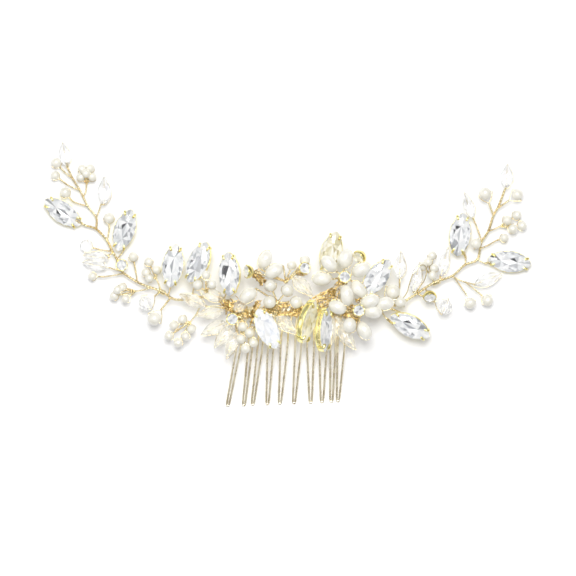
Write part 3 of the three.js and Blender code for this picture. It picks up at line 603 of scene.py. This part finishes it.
# Painted reflections for the foil, crowns and drops: tones from bright to dark, and how often each one comes
# up.
FOIL_REFLECTION_TONES = [(1, 1, 1), (0.88, 0.89, 0.9), (0.62, 0.63, 0.65), (0.38, 0.39, 0.41)]
WARM_REFLECTION_TONES = [(1, 0.98, 0.9), (0.9, 0.86, 0.68), (0.76, 0.7, 0.46), (0.5, 0.43, 0.24)]
PALE_REFLECTION_TONES = [(1, 1, 1), (0.95, 0.96, 0.98), (0.86, 0.88, 0.92), (0.76, 0.79, 0.85)]
FOIL_SHARES = (9, 6, 4, 2)
CROWN_REFLECTION_TONES = [(1, 1, 1), (0.94, 0.945, 0.945), (0.76, 0.77, 0.775)]
CROWN_SHARES = (6, 3, 2)
DROP_REFLECTION_TONES = [(1, 1, 1), (0.92, 0.92, 0.93), (0.76, 0.76, 0.79)]
DROP_SHARES = (6, 4, 2)
DARK_REFLECTION_TONE = (0.045, 0.045, 0.055)
STONE_REFLECTION_TONES = {5: PALE_REFLECTION_TONES, 6: WARM_REFLECTION_TONES, 8: WARM_REFLECTION_TONES}
FIRST_STONE_SEED = 40

# Facets painted with a dark reflection, by stone and by place on the stone.
DARK_REFLECTION_FACETS = {
    0: [(1.7, 0.4)], 1: [(1, 1.1)], 2: [(0, 2.4)], 3: [(-0.5, 2.6)],
    4: [(0.6, 0.9), (-0.4, 1.5), (1.2, 2.3), (2.3, 1.4), (0.2, 1.9), (1.4, 1.3), (0.9, 1.7), (1.9, 2),
        (0.1, 1.1)],
    10: [(-1, 0.3)], 11: [(2.9, 1.2), (1.4, 1.6)], 12: [(1.6, 0.3), (-4.4, 0.3)],
}


def boat(length, width, count, shift=0.0):
    """Points round a pointed oval."""
    points = []
    for i in range(count):
        angle = 2 * math.pi * (i + shift) / count
        across = abs(math.sin(angle)) ** BOAT_POINT * math.copysign(1, math.sin(angle))
        points.append((-length / 2 * math.cos(angle), width / 2 * across))
    return points


def stone_mesh(bm, seed, tones, dark):
    """Crown, girdle and keel facets of a boat-cut stone; the lower facets are foil backed."""
    length, width = STONE_LENGTH + 0.9, STONE_WIDTH + 0.8
    # Share of the outline, corners, shift in corners, and height over the girdle.
    rings = [
        (0.5, 8, 0.5, 1.25), (0.8, 14, 0.0, 0.8), (1.0, 16, 0.0, 0.2), (1.0, 16, 0.0, 0.0),
        (0.85, 24, 0.5, -0.34), (0.66, 20, 0.0, -0.74), (0.47, 14, 0.5, -1.08), (0.27, 8, 0.0, -1.36),
    ]
    for scale, count, shift, height in rings:
        for x, y in boat(length * scale, width * scale, count, shift):
            bm.verts.new((x, y, GIRDLE_HEIGHT + height))
    for x in (-3, 0, 3):
        bm.verts.new((x, 0, SETTING_FLOOR + GAP))
    bmesh.ops.convex_hull(bm, input=bm.verts)
    loose = [v for v in bm.verts if not v.link_faces]
    bmesh.ops.delete(bm, geom=loose, context="VERTS")
    bmesh.ops.dissolve_limit(bm, angle_limit=0.02, verts=bm.verts, edges=bm.edges)
    paint_facets(bm, GIRDLE_HEIGHT - 0.05, seed, tones, dark)


def paint_facets(bm, split, seed, tones, dark=()):
    """Painted reflections, facet by facet: mostly bright, some pale, and dark ones where `dark` says."""
    layer = bm.loops.layers.float_color.new("painted_facet_reflection")
    draw = random.Random(seed)
    for face in bm.faces:
        below = face.calc_center_median().z < split
        face.material_index = 1 if below else 0
        palette, shares = (tones, FOIL_SHARES) if below else (CROWN_REFLECTION_TONES, CROWN_SHARES)
        shade = draw.choices(palette, weights=shares)[0]
        for loop in face.loops:
            loop[layer] = (*shade, 1)
    backs = [face for face in bm.faces if face.material_index]
    for spot in dark:
        nearest = min(backs, key=lambda face: (face.calc_center_median().xy - Vector(spot)).length)
        for loop in nearest.loops:
            loop[layer] = (*DARK_REFLECTION_TONE, 1)


def bridge(bm, rings):
    """Four-sided faces between each pair of rings."""
    for lower, upper in zip(rings, rings[1:]):
        for i in range(len(lower)):
            j = (i + 1) % len(lower)
            bm.faces.new((lower[i], lower[j], upper[j], upper[i]))


def setting_mesh(bm):
    """A shallow boat of sheet gold: floor, flared wall with a scalloped rim, and the inside face."""
    count = 48
    profile = [
        (-0.6, 0.0), (0.1, 0.0), (0.24, 0.45), (0.33, SETTING_RIM), (0.26, SETTING_RIM + 0.12),
        (0.12, SETTING_RIM + 0.08), (0.0, SETTING_RIM - 0.5), (-0.3, SETTING_FLOOR),
    ]
    loops = []
    for reach, height in profile:
        grown = 2 * (reach + GAP * 0.5)
        ring = boat(STONE_LENGTH + grown, STONE_WIDTH + grown, count)
        scallop = 0.16 if height > SETTING_RIM - 0.1 else 0
        loops.append([
            bm.verts.new((x, y, height + scallop * math.cos(2 * math.pi * i / 4)))
            for i, (x, y) in enumerate(ring)
        ])
    bridge(bm, loops)
    bm.faces.new(loops[0])
    bm.faces.new(loops[-1])


def claw_lines():
    """Four prongs, each from the floor up the wall and bent over the stone's shoulder."""
    lines = []
    outer = boat(STONE_LENGTH + 1.3, STONE_WIDTH + 1.3, 10)
    inner = boat(STONE_LENGTH * 0.86, STONE_WIDTH * 0.86, 10)
    for corner in (1, 4, 6, 9):
        (x, y), (u, v) = outer[corner], inner[corner]
        lines.append(smooth_path([
            (x * 0.97, y * 0.97, 0.6), (x, y, SETTING_RIM), (x * 0.985, y * 0.985, CLAW_HEIGHT - 0.55),
            ((x + u) / 2, (y + v) / 2, CLAW_HEIGHT - 0.2), (u, v, CLAW_HEIGHT - 0.25),
        ], 0.2))
    return lines


def stone_matrix(spot):
    x, y, turn, base, roll = spot
    middle = CLAW_HEIGHT / 2
    return (Matrix.Translation(Vector((x, y, base + middle)) * MM)
            @ Matrix.Rotation(math.radians(turn), 4, "Z")
            @ Matrix.Rotation(math.radians(roll), 4, "X")
            @ Matrix.Translation(Vector((0, 0, -middle)) * MM))


def make_stone(index, spot):
    number = f"{index + 1:02d}"
    place = stone_matrix(spot)
    tones = STONE_REFLECTION_TONES.get(index, FOIL_REFLECTION_TONES)
    dark = DARK_REFLECTION_FACETS.get(index, ())
    seed = FIRST_STONE_SEED + index
    stone = mesh_piece(f"cut_stone_{number}", lambda bm: stone_mesh(bm, seed, tones, dark), smooth=False)
    stone.matrix_world = place
    finish_piece(stone, COMB, [STONE_GLASS, FOIL], [f"navette_stone_{number}"])
    tray = mesh_piece(f"stone_tray_{number}", setting_mesh)
    tray.matrix_world = place
    steep = abs(spot[4]) > STEEP_ROLL
    # A steep setting takes the lemon gold: painted light, a brighter, glowing copy of the setting gold.
    gold = LEMON_GOLD_PAINTED_GLOW if steep else SETTING_GOLD
    finish_piece(tray, COMB, [gold], [f"navette_setting_{number}"])
    lines = [
        [place.to_3x3() @ Vector(p) + place.translation / MM for p in line] for line in claw_lines()
    ]
    claw = STEEP_CLAW if steep else CLAW
    wire_piece(f"stone_claws_{number}", lines, claw, SETTING_GOLD, 3)


# ---- Round stones in cups ----

def ring_of(bm, radius, height, count, shift=0.0):
    return [
        bm.verts.new((radius * math.cos(2 * math.pi * (i + shift) / count),
                      radius * math.sin(2 * math.pi * (i + shift) / count), height))
        for i in range(count)
    ]


def cup_mesh(bm):
    """A turned cup with a notched rim that grips the stone."""
    count = 32
    profile = [(0.9, 0), (1.35, 0), (2.05, 0.9), (2.2, 1.7), (2.05, 1.95), (1.85, 1.8), (1.6, 1.0)]
    rings = []
    for step, (radius, height) in enumerate(profile):
        ring = ring_of(bm, radius, height, count)
        for i, vert in enumerate(ring):
            if step in (3, 4) and i % 4 < 2:
                vert.co.z += 0.22
        rings.append(ring)
    bridge(bm, rings)
    bm.faces.new(rings[0])
    bm.faces.new(rings[-1])


def round_stone_mesh(bm, seed, tones):
    """Table, crown, girdle and foil-backed cone of a small round stone."""
    ring_of(bm, 1.0, 2.75, 8, 0.5)
    ring_of(bm, 1.5, 2.45, 8)
    ring_of(bm, 1.88, 2.0, 16)
    ring_of(bm, 1.88, 1.88, 16)
    ring_of(bm, 1.2, 1.35, 8, 0.5)
    bm.verts.new((0, 0, 1.02))
    bmesh.ops.convex_hull(bm, input=bm.verts)
    bmesh.ops.dissolve_limit(bm, angle_limit=0.02, verts=bm.verts, edges=bm.edges)
    paint_facets(bm, 1.86, seed, tones)


def make_chaton(name, x, y, z, lean, seed, cup_nodes=(), stone_nodes=(), size=1.0, bearing=0,
                tones=FOIL_REFLECTION_TONES):
    cup = put(mesh_piece(f"{name}_gold_cup", cup_mesh), x, y, z, bearing, lean)
    cup.scale = (size, size, size)
    finish_piece(cup, COMB, [SETTING_GOLD], cup_nodes)
    stone = mesh_piece(f"{name}_round_stone", lambda bm: round_stone_mesh(bm, seed, tones), False)
    put(stone, x, y, z, bearing, lean)
    stone.scale = (size, size, size)
    finish_piece(stone, COMB, [STONE_GLASS, FOIL], stone_nodes)


# ---- Pearls, beads and drops ----

def pearl_mesh(bm, length, width, seed, bore=0.22):
    """A turned bead along X with a bored hole, a little out of true."""
    columns, rows = 28, 16
    start = math.asin(min(0.9, bore / (width / 2)))
    rings = []
    for row in range(rows + 1):
        angle = start + (math.pi - 2 * start) * row / rows
        ring = []
        for column in range(columns):
            turn = 2 * math.pi * column / columns
            point = Vector((-length / 2 * math.cos(angle),
                            width / 2 * math.sin(angle) * math.cos(turn),
                            width / 2 * math.sin(angle) * math.sin(turn)))
            push = noise.noise(point * 0.45 + Vector((seed * 3.1, seed * 1.7, 0))) * 0.05
            ring.append(bm.verts.new(point * (1 + push)))
        rings.append(ring)
    bridge(bm, [*rings, rings[0]])


def bridge_staggered(bm, rings):
    """Three-sided facets between rows whose corners are half a step apart."""
    for row, (near, far) in enumerate(zip(rings, rings[1:])):
        for i in range(len(near)):
            j = (i + 1) % len(near)
            if row % 2:
                bm.faces.new((near[i], near[j], far[j]))
                bm.faces.new((near[i], far[j], far[i]))
            else:
                bm.faces.new((near[i], near[j], far[i]))
                bm.faces.new((near[j], far[j], far[i]))


def faceted_bead_mesh(bm, diameter, bore=0.22):
    """A fire-polished round bead: flat facets in staggered rows, bored along X."""
    r = diameter / 2
    start = math.asin(bore / r)
    rows, columns = 6, 9
    rings = []
    for row in range(rows + 1):
        angle = start + (math.pi - 2 * start) * row / rows
        ring = []
        for column in range(columns):
            turn = 2 * math.pi * (column + 0.5 * (row % 2)) / columns
            ring.append(bm.verts.new((-r * math.cos(angle), r * math.sin(angle) * math.cos(turn),
                                      r * math.sin(angle) * math.sin(turn))))
        rings.append(ring)
    bridge_staggered(bm, rings)
    for i in range(columns):
        j = (i + 1) % columns
        bm.faces.new((rings[0][i], rings[-1][i], rings[-1][j], rings[0][j]))
    paint_drop(bm, round(diameter * 10))


def drop_mesh(bm, length, width):
    """A pointed drop along X: blunt at the wire, long facets to the tip."""
    columns = 8
    profile = [
        (-0.5, 0.12), (-0.45, 0.42), (-0.3, 0.78), (-0.1, 1.0), (0.12, 0.84), (0.34, 0.46), (0.48, 0.14),
    ]
    rings = []
    for step, (along, reach) in enumerate(profile):
        rings.append([
            bm.verts.new((along * length,
                          width / 2 * reach * math.cos(2 * math.pi * (i + 0.5 * (step % 2)) / columns),
                          width / 2 * reach * math.sin(2 * math.pi * (i + 0.5 * (step % 2)) / columns)))
            for i in range(columns)
        ])
    bridge_staggered(bm, rings)
    bm.faces.new(rings[0])
    bm.faces.new(rings[-1])
    paint_drop(bm, round(length * 10 + width * 7))


# Painted reflections on a drop or bead: a tone from bright to grey for each facet.
def paint_drop(bm, seed):
    layer = bm.loops.layers.float_color.new("painted_facet_reflection")
    draw = random.Random(seed)
    for face in bm.faces:
        shade = draw.choices(DROP_REFLECTION_TONES, weights=DROP_SHARES)[0]
        for loop in face.loops:
            loop[layer] = (*shade, 1)


def hugging_wire(middle, towards, r):
    """The bead's own wire: out of one side of its hole, round under it, and back up the other side."""
    middle = Vector(middle)
    along = middle - Vector(towards)
    along = along.normalized() if along.length else Vector((0, 1, 0))
    across = Vector((-along.y, along.x, 0))
    across = across.normalized() if across.length else Vector((1, 0, 0))
    reach = r + STRAND + 0.02
    lines = []
    for side in (-1, 1):
        arc = [middle + across * side * r * 0.4, middle + across * side * (r + 0.14)]
        for step in range(1, 7):
            angle = math.radians(90 - 14 * step)
            arc.append(middle + across * side * reach * math.sin(angle) - along * reach * math.cos(angle))
        arc.append(middle - along * (reach + 0.5))
        lines.append(smooth_path(arc, 0.3))
    return lines


def lift_ends(item, absolute):
    """Every bead of a sprig or spray as kind, place, sizes."""
    def height(x, lift):
        return lift if absolute else stem_height(x) + lift
    found = []
    found += [("pearl", (x, y, height(x, z)), (d, d, None)) for x, y, d, z in item.get("pearls", [])]
    found += [("bead", (x, y, height(x, z)), (d, d, None)) for x, y, d, z in item.get("beads", [])]
    found += [("drop", (x, y, height(x, z)), (l, w, t)) for x, y, t, l, w, z in item.get("drops", [])]
    found += [("rice", (x, y, height(x, z)), (l, w, t)) for x, y, t, l, w, z in item.get("rice", [])]
    found += [("cup", (x, y, height(x, z)), (0, *rest, 0)[:3]) for x, y, z, *rest in item.get("cups", [])]
    return found


def bead_body(name, kind, place, sizes, heading, tint, seed):
    """The pearl, bead or drop itself: round ones turn to their wire, long ones as given."""
    length, width, turn = sizes
    if kind in ("pearl", "rice"):
        facing, skin = (heading + 90, PEARL) if kind == "pearl" else (turn, RICE_PEARL)
        piece = mesh_piece(name, lambda bm: pearl_mesh(bm, length, width, seed))
        finish_piece(put(piece, *place, facing), COMB, [skin])
    elif kind == "bead":
        piece = mesh_piece(name, lambda bm: faceted_bead_mesh(bm, length), False)
        finish_piece(put(piece, *place, heading + 90), COMB, [DROP_GLASS[tint]])
    else:
        piece = mesh_piece(name, lambda bm: drop_mesh(bm, length, width), False)
        finish_piece(put(piece, *place, turn), COMB, [DROP_GLASS[tint]])


# The wire back along a long bead, as shares of its length and of its half width.
DROP_RUN = [(-0.56, 0.1), (-0.3, 0.86), (-0.05, 1.0), (0.2, 0.72), (0.44, 0.3), (0.53, 0.0)]
RICE_RUN = [(-0.54, 0.1), (-0.38, 0.72), (0.0, 1.04), (0.38, 0.72), (0.53, 0.0)]


def side_wire(kind, place, length, width, forward, flip):
    """A long bead's wire: through its bore, and back along one side of it."""
    side = Vector((-forward.y, forward.x, 0)) * flip
    back = [
        place + forward * length * a + side * (width / 2 * b + 0.1) + Vector((0, 0, 0.2))
        for a, b in (RICE_RUN if kind == "rice" else DROP_RUN)
    ]
    core = [place + forward * length * a for a in (-0.55, 0.0, 0.53)]
    return [smooth_path(back, 0.3), core]


def make_sprig_cup(name, place, lean, bearing, root, seed):
    size = LEANING_CUP if abs(lean) > LEANING_FROM else 1
    make_chaton(name, *place, lean, seed, size=size, bearing=bearing)
    twisted(f"{name}_wire", [root, place + Vector((0, 0, 0.2))], 2, STRAND, 1.3)


def make_bead(name, kind, place, sizes, root, tint, seed):
    """One bead with the wire that carries it from the root."""
    length, width, turn = sizes
    place = Vector(place)
    root = Vector(root)
    if kind == "cup":
        make_sprig_cup(name, place, width, turn, root, seed)
        return
    away = place - root
    bead_body(name, kind, place, sizes, math.degrees(math.atan2(away.y, away.x)), tint, seed)
    if kind in ("pearl", "bead"):
        end = place - away.normalized() * (width / 2 + 0.5)
        wire_piece(f"{name}_loop", hugging_wire(place, root, width / 2), STRAND * 0.66)
    else:
        forward = Vector((math.cos(math.radians(turn)), math.sin(math.radians(turn)), 0))
        if forward.dot(away) < 0:
            forward = -forward
        end = place - forward * (length / 2 + 0.3)
        lines = side_wire(kind, place, length, width, forward, 1 if seed % 2 else -1)
        wire_piece(f"{name}_loop", lines, STRAND * 0.55)
    if (end - root).length > 0.6:
        bow = (root + end) / 2 + Vector((0, 0, 0.25))
        twisted(f"{name}_wire", [root, bow, end], 2, STRAND, 1.3)


def make_sprig(name, sprig, seed):
    """A stalk off the stem and the beads at its end."""
    wire = [raised(p) for p in sprig["wire"]]
    if len(wire) == 2:
        wire.insert(1, (wire[0] + wire[1]) / 2 + Vector((0.12, -0.12, 0.1)))
    twisted(f"{name}_stalk", wire, 2, STRAND * 0.9, 1.7)
    for number, (kind, place, sizes) in enumerate(lift_ends(sprig, False)):
        bead = f"{name}_{kind}_{number + 1}"
        make_bead(bead, kind, place, sizes, wire[-1], "clear", seed * 10 + number)


def turning_bead(node, diameter, middle, turn):
    """The bead itself, bored wide enough to turn on its wire; it rides on its own body."""
    if node.startswith("crystal"):
        bead = mesh_piece(f"{node}_cut", lambda bm: faceted_bead_mesh(bm, diameter, BORE_RADIUS), False)
        slot, skin = "crystal", DROP_GLASS["clear"]
    else:
        seed = diameter * 9
        bead = mesh_piece(f"{node}_skin", lambda bm: pearl_mesh(bm, diameter, diameter, seed, BORE_RADIUS))
        slot, skin = "pearl", PEARL
    finish_piece(put(bead, *middle, turn), node, [skin], [node])


def make_threaded(spot):
    """A bead that turns on its own wire loop; the loop stays with the comb."""
    node, x, y, diameter, root, lift = spot
    middle = raised((x, y), lift)
    start = raised(root)
    turning_bead(node, diameter, middle, math.degrees(math.atan2(y - root[1], x - root[0])) + 90)
    along = middle - start
    along.z = 0
    along.normalize()
    across = Vector((-along.y, along.x, 0))
    r = diameter / 2
    shoulder = r + 0.36
    # Out from the bead towards its tip, and across it along the bore.
    half = [
        (-r - LOOP_FOOT, 0.1), (-0.86 * shoulder, 0.6 * shoulder), (-0.3, r + 0.45), (0, r + 0.15),
    ]
    run = [*half, (0, 0), *((a, -b) for a, b in reversed(half))]
    loop = [middle + along * a + across * b for a, b in run]
    wire_piece(f"{node}_loop", [smooth_path(loop, 0.25)], STRAND)
    foot = middle - along * (r + LOOP_FOOT)
    stalk = [start, (start + foot) / 2 + Vector((0, 0, 0.3)), foot]
    twisted(f"{node}_stalk", stalk, 2, STRAND * 1.1, 1.4)


def make_spray(spray, seed):
    """Beads that fan out from a wound knot over the comb."""
    node = spray["node"]
    root = Vector(spray["root"])
    for number, (kind, place, sizes) in enumerate(lift_ends(spray, True)):
        bead = f"{node}_{kind}_{number + 1}"
        make_bead(bead, kind, place, sizes, root, spray["tint"], seed * 10 + number)
    knot = [root + Vector((0, 0, -1.6)), root, root + Vector((0.4, 0.2, 0.5))]
    lines = strands(smooth_path(knot, 0.05), 2, 0.6, 0.5)
    wire_piece(f"{node}_knot", lines, BINDING, nodes=[node])


def make_flower(flower, seed):
    """Rice-pearl petals round a stone in a cup."""
    name = flower["name"]
    x, y, z = flower["centre"]
    make_chaton(name, x, y, z, 0, seed, [f"{name}_cup"], [f"{name}_stone"])
    hub = Vector((x, y, z - 1.6))
    for number, (px, py, turn, length, width, height) in enumerate(flower["petals"]):
        petal = f"{name}_petal_{number + 1}"
        make_bead(petal, "rice", (px, py, height), (length, width, turn), hub, "clear", seed * 10 + number)
    knot = smooth_path([hub + Vector((0, 0, -1.8)), hub + Vector((0, 0, 1.4))], 0.04)
    wire_piece(f"{name}_knot", strands(knot, 3, 1.15, 0.55), BINDING, nodes=[f"{name}_petals"])


# Loose turns of thin wire that bind the stalks over the comb:
# x, y, height, half length, half width, turn, how many strands.
TANGLES = [
    (-24.2, 3.2, 4.6, 3.4, 1.4, -35, 8), (-20.6, 1, 5, 3.4, 2, -20, 10), (-18.6, -1.2, 4.8, 3, 1.5, 10, 9),
    (-13.6, 1.8, 4.6, 2.8, 1.2, 70, 8), (-13, 12.6, 5.6, 2.2, 1.4, -40, 8), (-5, 2.2, 4.2, 3.8, 1.3, 10, 9),
    (-2.4, -0.2, 4, 4, 1, 0, 8), (3.2, 2, 4.8, 3.6, 1.1, 15, 8), (10.6, 5.6, 5, 4, 1.8, 25, 10),
    (14.6, 8.4, 5.6, 3.6, 1.2, 50, 9), (20.4, -1.4, 6, 3.4, 1.5, -15, 10), (19, 2, 5.4, 3, 1.4, 0, 9),
    (2.6, 14.2, 5, 2.2, 1.1, 0, 7), (17.2, 11, 7.4, 2, 1.4, 0, 8), (24.4, 5.2, 4.6, 2.6, 1, 30, 6),
    (-12.4, 12.4, 4.6, 3, 1.6, -60, 9), (-9, 1, 3.6, 3.4, 1.4, 20, 9), (2, -0.6, 4.2, 3.4, 1.6, -10, 9),
    (10, 2, 4.4, 3.6, 2, 35, 10), (14.8, 5.6, 5, 3, 1.8, 60, 9), (22.2, -3.2, 5, 2.6, 1.2, 60, 7),
    (-22.6, 2.6, 4, 3.2, 2.2, 30, 8), (29.8, 2.4, 4, 2.6, 0.9, 10, 6), (-14.6, -2.4, 4, 2.6, 1.2, 80, 7),
]


def tangle_lines(centre, reach, turn, loops, draw):
    """Straight crossing strands along `turn`, and open turns of wire round them."""
    spin = Matrix.Rotation(math.radians(turn), 3, "Z")
    crossing = []
    for step in range(loops):
        side = 1 if step % 2 else -1
        along = side * reach[0] * draw.uniform(0.75, 1.1)
        aside = reach[1] * draw.uniform(-0.9, 0.9)
        crossing.append(centre + spin @ Vector((along, aside, draw.uniform(-0.7, 0.5))))
    turns = []
    for step in range(loops * 3):
        angle = 2 * math.pi * step / 4.6 + draw.uniform(-0.5, 0.5)
        along = reach[0] * (2 * step / (loops * 3) - 1) + draw.uniform(-1, 1)
        turns.append(centre + spin @ Vector((along, reach[1] * math.cos(angle), 0.9 * math.sin(angle))))
    return [smooth_path(crossing, 0.4), smooth_path(turns, 0.3)]


def make_windings():
    """Close coils along the stems, and loose turns where the stalks meet over the comb."""
    runs = [
        ((-25, 4), (-21, 1)), ((-21, 1), (-13.2, 0)), ((-6.8, 0), (-5, 0)), ((-49, 8), (-46.6, 6.8)),
        ((5, 0), (7, 0)), ((13, 0), (15.2, 0)), ((16.8, 0), (24, 1)), ((50, 10.2), (52.5, 11.2)),
    ]
    coils = [coil_round([raised(a), raised(b)], 0.82, 0.42) for a, b in runs]
    wire_piece("binding_coils", coils, 0.16)
    draw = random.Random(21)
    for number, (x, y, z, half_length, half_width, turn, loops) in enumerate(TANGLES):
        lines = tangle_lines(Vector((x, y, z)), (half_length, half_width), turn, loops, draw)
        # The loose turns take the darker copy of the wire gold: painted shade among the beads.
        wire_piece(f"binding_turns_{number + 1:02d}", lines, 0.13, material=SHADED_WIRE_GOLD)


# Where a stalk's end is wound onto a setting: from, towards.
TIES = [
    ((68.9, 17.6), (71.4, 17.9)), ((62, 19.4), (61.2, 22)), ((-60.9, 23.6), (-60.2, 25)),
    ((-77, 32), (-79, 33.4)), ((-44.2, 11.6), (-43.9, 13)), ((34.6, 1.2), (36.4, 0.6)),
    ((33.4, -2.4), (35, -3.8)),
]


def drop_loop():
    """A bare loop of the wire that stands up round the drop beside the inner cup."""
    points = [
        (38.8, 4.4, 0.4), (40.6, 7, 2), (41.4, 10, 4), (42.6, 13.4, 4.8), (44.8, 16.4, 4.6), (46.6, 17, 4.2),
        (47.6, 15.6, 4), (47.5, 13.6, 3.8), (46.7, 11.2, 3), (45.3, 9.2, 1.6), (44.2, 6.9, 0.4),
    ]
    return smooth_path([raised(p, p[2]) for p in points], 0.3)


def make_ties():
    for number, (start, end) in enumerate(TIES):
        run = [raised(start), raised(end)]
        wire_piece(f"tie_{number + 1:02d}", [run, coil_round(run, 0.42, 0.5)], 0.15)


def edge_coil(spot):
    """Wire wound along the upper wall of a steep setting."""
    place = stone_matrix(spot)
    edge = [Vector((x, 4.35 - x ** 2 * 0.055, SETTING_RIM - 0.3)) for x in (-6, -3, 0, 3, 6)]
    return coil_round([place @ (point * MM) / MM for point in edge], 0.34, 0.75)


# ---- The whole comb ----

def make_vines():
    raised_left = [raised(p) for p in LEFT_STEM]
    raised_right = [raised(p) for p in RIGHT_STEM]
    twisted("vine_left_stem", [*raised_left, raised((-78.2, 33))], 2, STEM_STRAND, 2.3, ["vine_left"], 0.75)
    twisted("vine_left_branch", [raised(p) for p in LEFT_BRANCH], 2, 0.18, 2)
    twisted("vine_right_stem", raised_right, 2, STEM_STRAND, 2.3, ["vine_right"], 0.75)
    for index, sprig in enumerate(LEFT_SPRIGS):
        make_sprig(f"left_sprig_{index + 1:02d}", sprig, 3 + index)
    for index, sprig in enumerate(RIGHT_SPRIGS):
        make_sprig(f"right_sprig_{index + 1:02d}", sprig, 43 + index)


FLOOR_SIZE = 2500        # half the side of the sweep
VIEW_MARGIN = 1.177      # width of the view over the width of the comb
VIEW_SHIFT = 0.0282      # how far the view's centre lies towards the tines, over the same width


def make_floor(centre):
    floor = mesh_piece(
        "sweep", lambda bm: bmesh.ops.create_grid(bm, x_segments=8, y_segments=8, size=FLOOR_SIZE))
    floor.location = (centre.x, centre.y, CAD_LOW.z - 0.02 * MM)
    floor.data.materials.append(floor_material())


def make_camera(centre, width):
    """A long lens straight above the comb."""
    camera_data = bpy.data.cameras.new("camera")
    camera = new_object("camera", camera_data)
    bpy.context.scene.camera = camera
    camera_data.lens = 200
    camera_data.sensor_width = 36
    distance = width * VIEW_MARGIN * camera_data.lens / camera_data.sensor_width
    camera.location = (centre.x, centre.y - width * VIEW_SHIFT, STEM_HEIGHT * MM * 0.2 + distance)
    camera_data.clip_start = 0.01
    camera_data.clip_end = 20


def make_lights(centre):
    """A soft light overhead, and two weak ones low down at the sides; places are in metres."""
    for name, energy, size, place in (
        ("overhead", 7, 0.4, (0, 0.26, 0.85)),
        ("side", 0.4, 0.4, (0.7, -0.3, 0.5)),
        ("reflector", 0.45, 0.3, (-0.6, 0.02, 0.32)),
    ):
        light_data = bpy.data.lights.new(name, "AREA")
        light_data.shape = "SQUARE"
        light_data.size = size
        light_data.energy = energy
        light = new_object(name, light_data)
        light.location = centre + Vector(place)
        light.rotation_euler = (-Vector(place)).to_track_quat("-Z", "Y").to_euler()


def make_sky():
    """A pale sky that darkens towards its edge."""
    world = bpy.data.worlds.new("studio")
    bpy.context.scene.world = world
    world.use_nodes = True
    tree = world.node_tree
    coords = tree.nodes.new("ShaderNodeTexCoord")
    split = tree.nodes.new("ShaderNodeSeparateXYZ")
    tree.links.new(coords.outputs["Generated"], split.inputs["Vector"])
    background = tree.nodes["Background"]
    ramp(tree, split.outputs["Z"], background.inputs["Color"], [
        (0.0, (0.34, 0.34, 0.34)), (0.35, (0.3, 0.3, 0.31)), (0.6, (0.86, 0.865, 0.87)), (0.85, (1, 1, 1))])
    background.inputs["Strength"].default_value = 0.43


def make_studio():
    centre = (CAD_LOW + CAD_HIGH) / 2
    make_floor(centre)
    make_camera(centre, CAD_HIGH.x - CAD_LOW.x)
    make_lights(centre)
    make_sky()
    bpy.context.scene.view_settings.view_transform = "Standard"


dress_rail()
make_tines()
make_lashings()
make_vines()
make_windings()
make_ties()
wire_piece("drop_loop", [drop_loop()], STRAND * 1.3)
for index, spot in enumerate(STONES):
    make_stone(index, spot)
wire_piece("edge_winding", [edge_coil(STONES[7])], 0.16)
for spot in THREADED:
    make_threaded(spot)
for index, spray in enumerate(SPRAYS):
    make_spray(spray, 80 + index)
for index, flower in enumerate(FLOWERS):
    make_flower(flower, 90 + index)
make_chaton("upper_chaton", *UPPER_CHATON, 7, ["upper_chaton"], size=UPPER_CHATON_SIZE,
            bearing=UPPER_CHATON_BEARING, tones=WARM_REFLECTION_TONES)
make_studio()
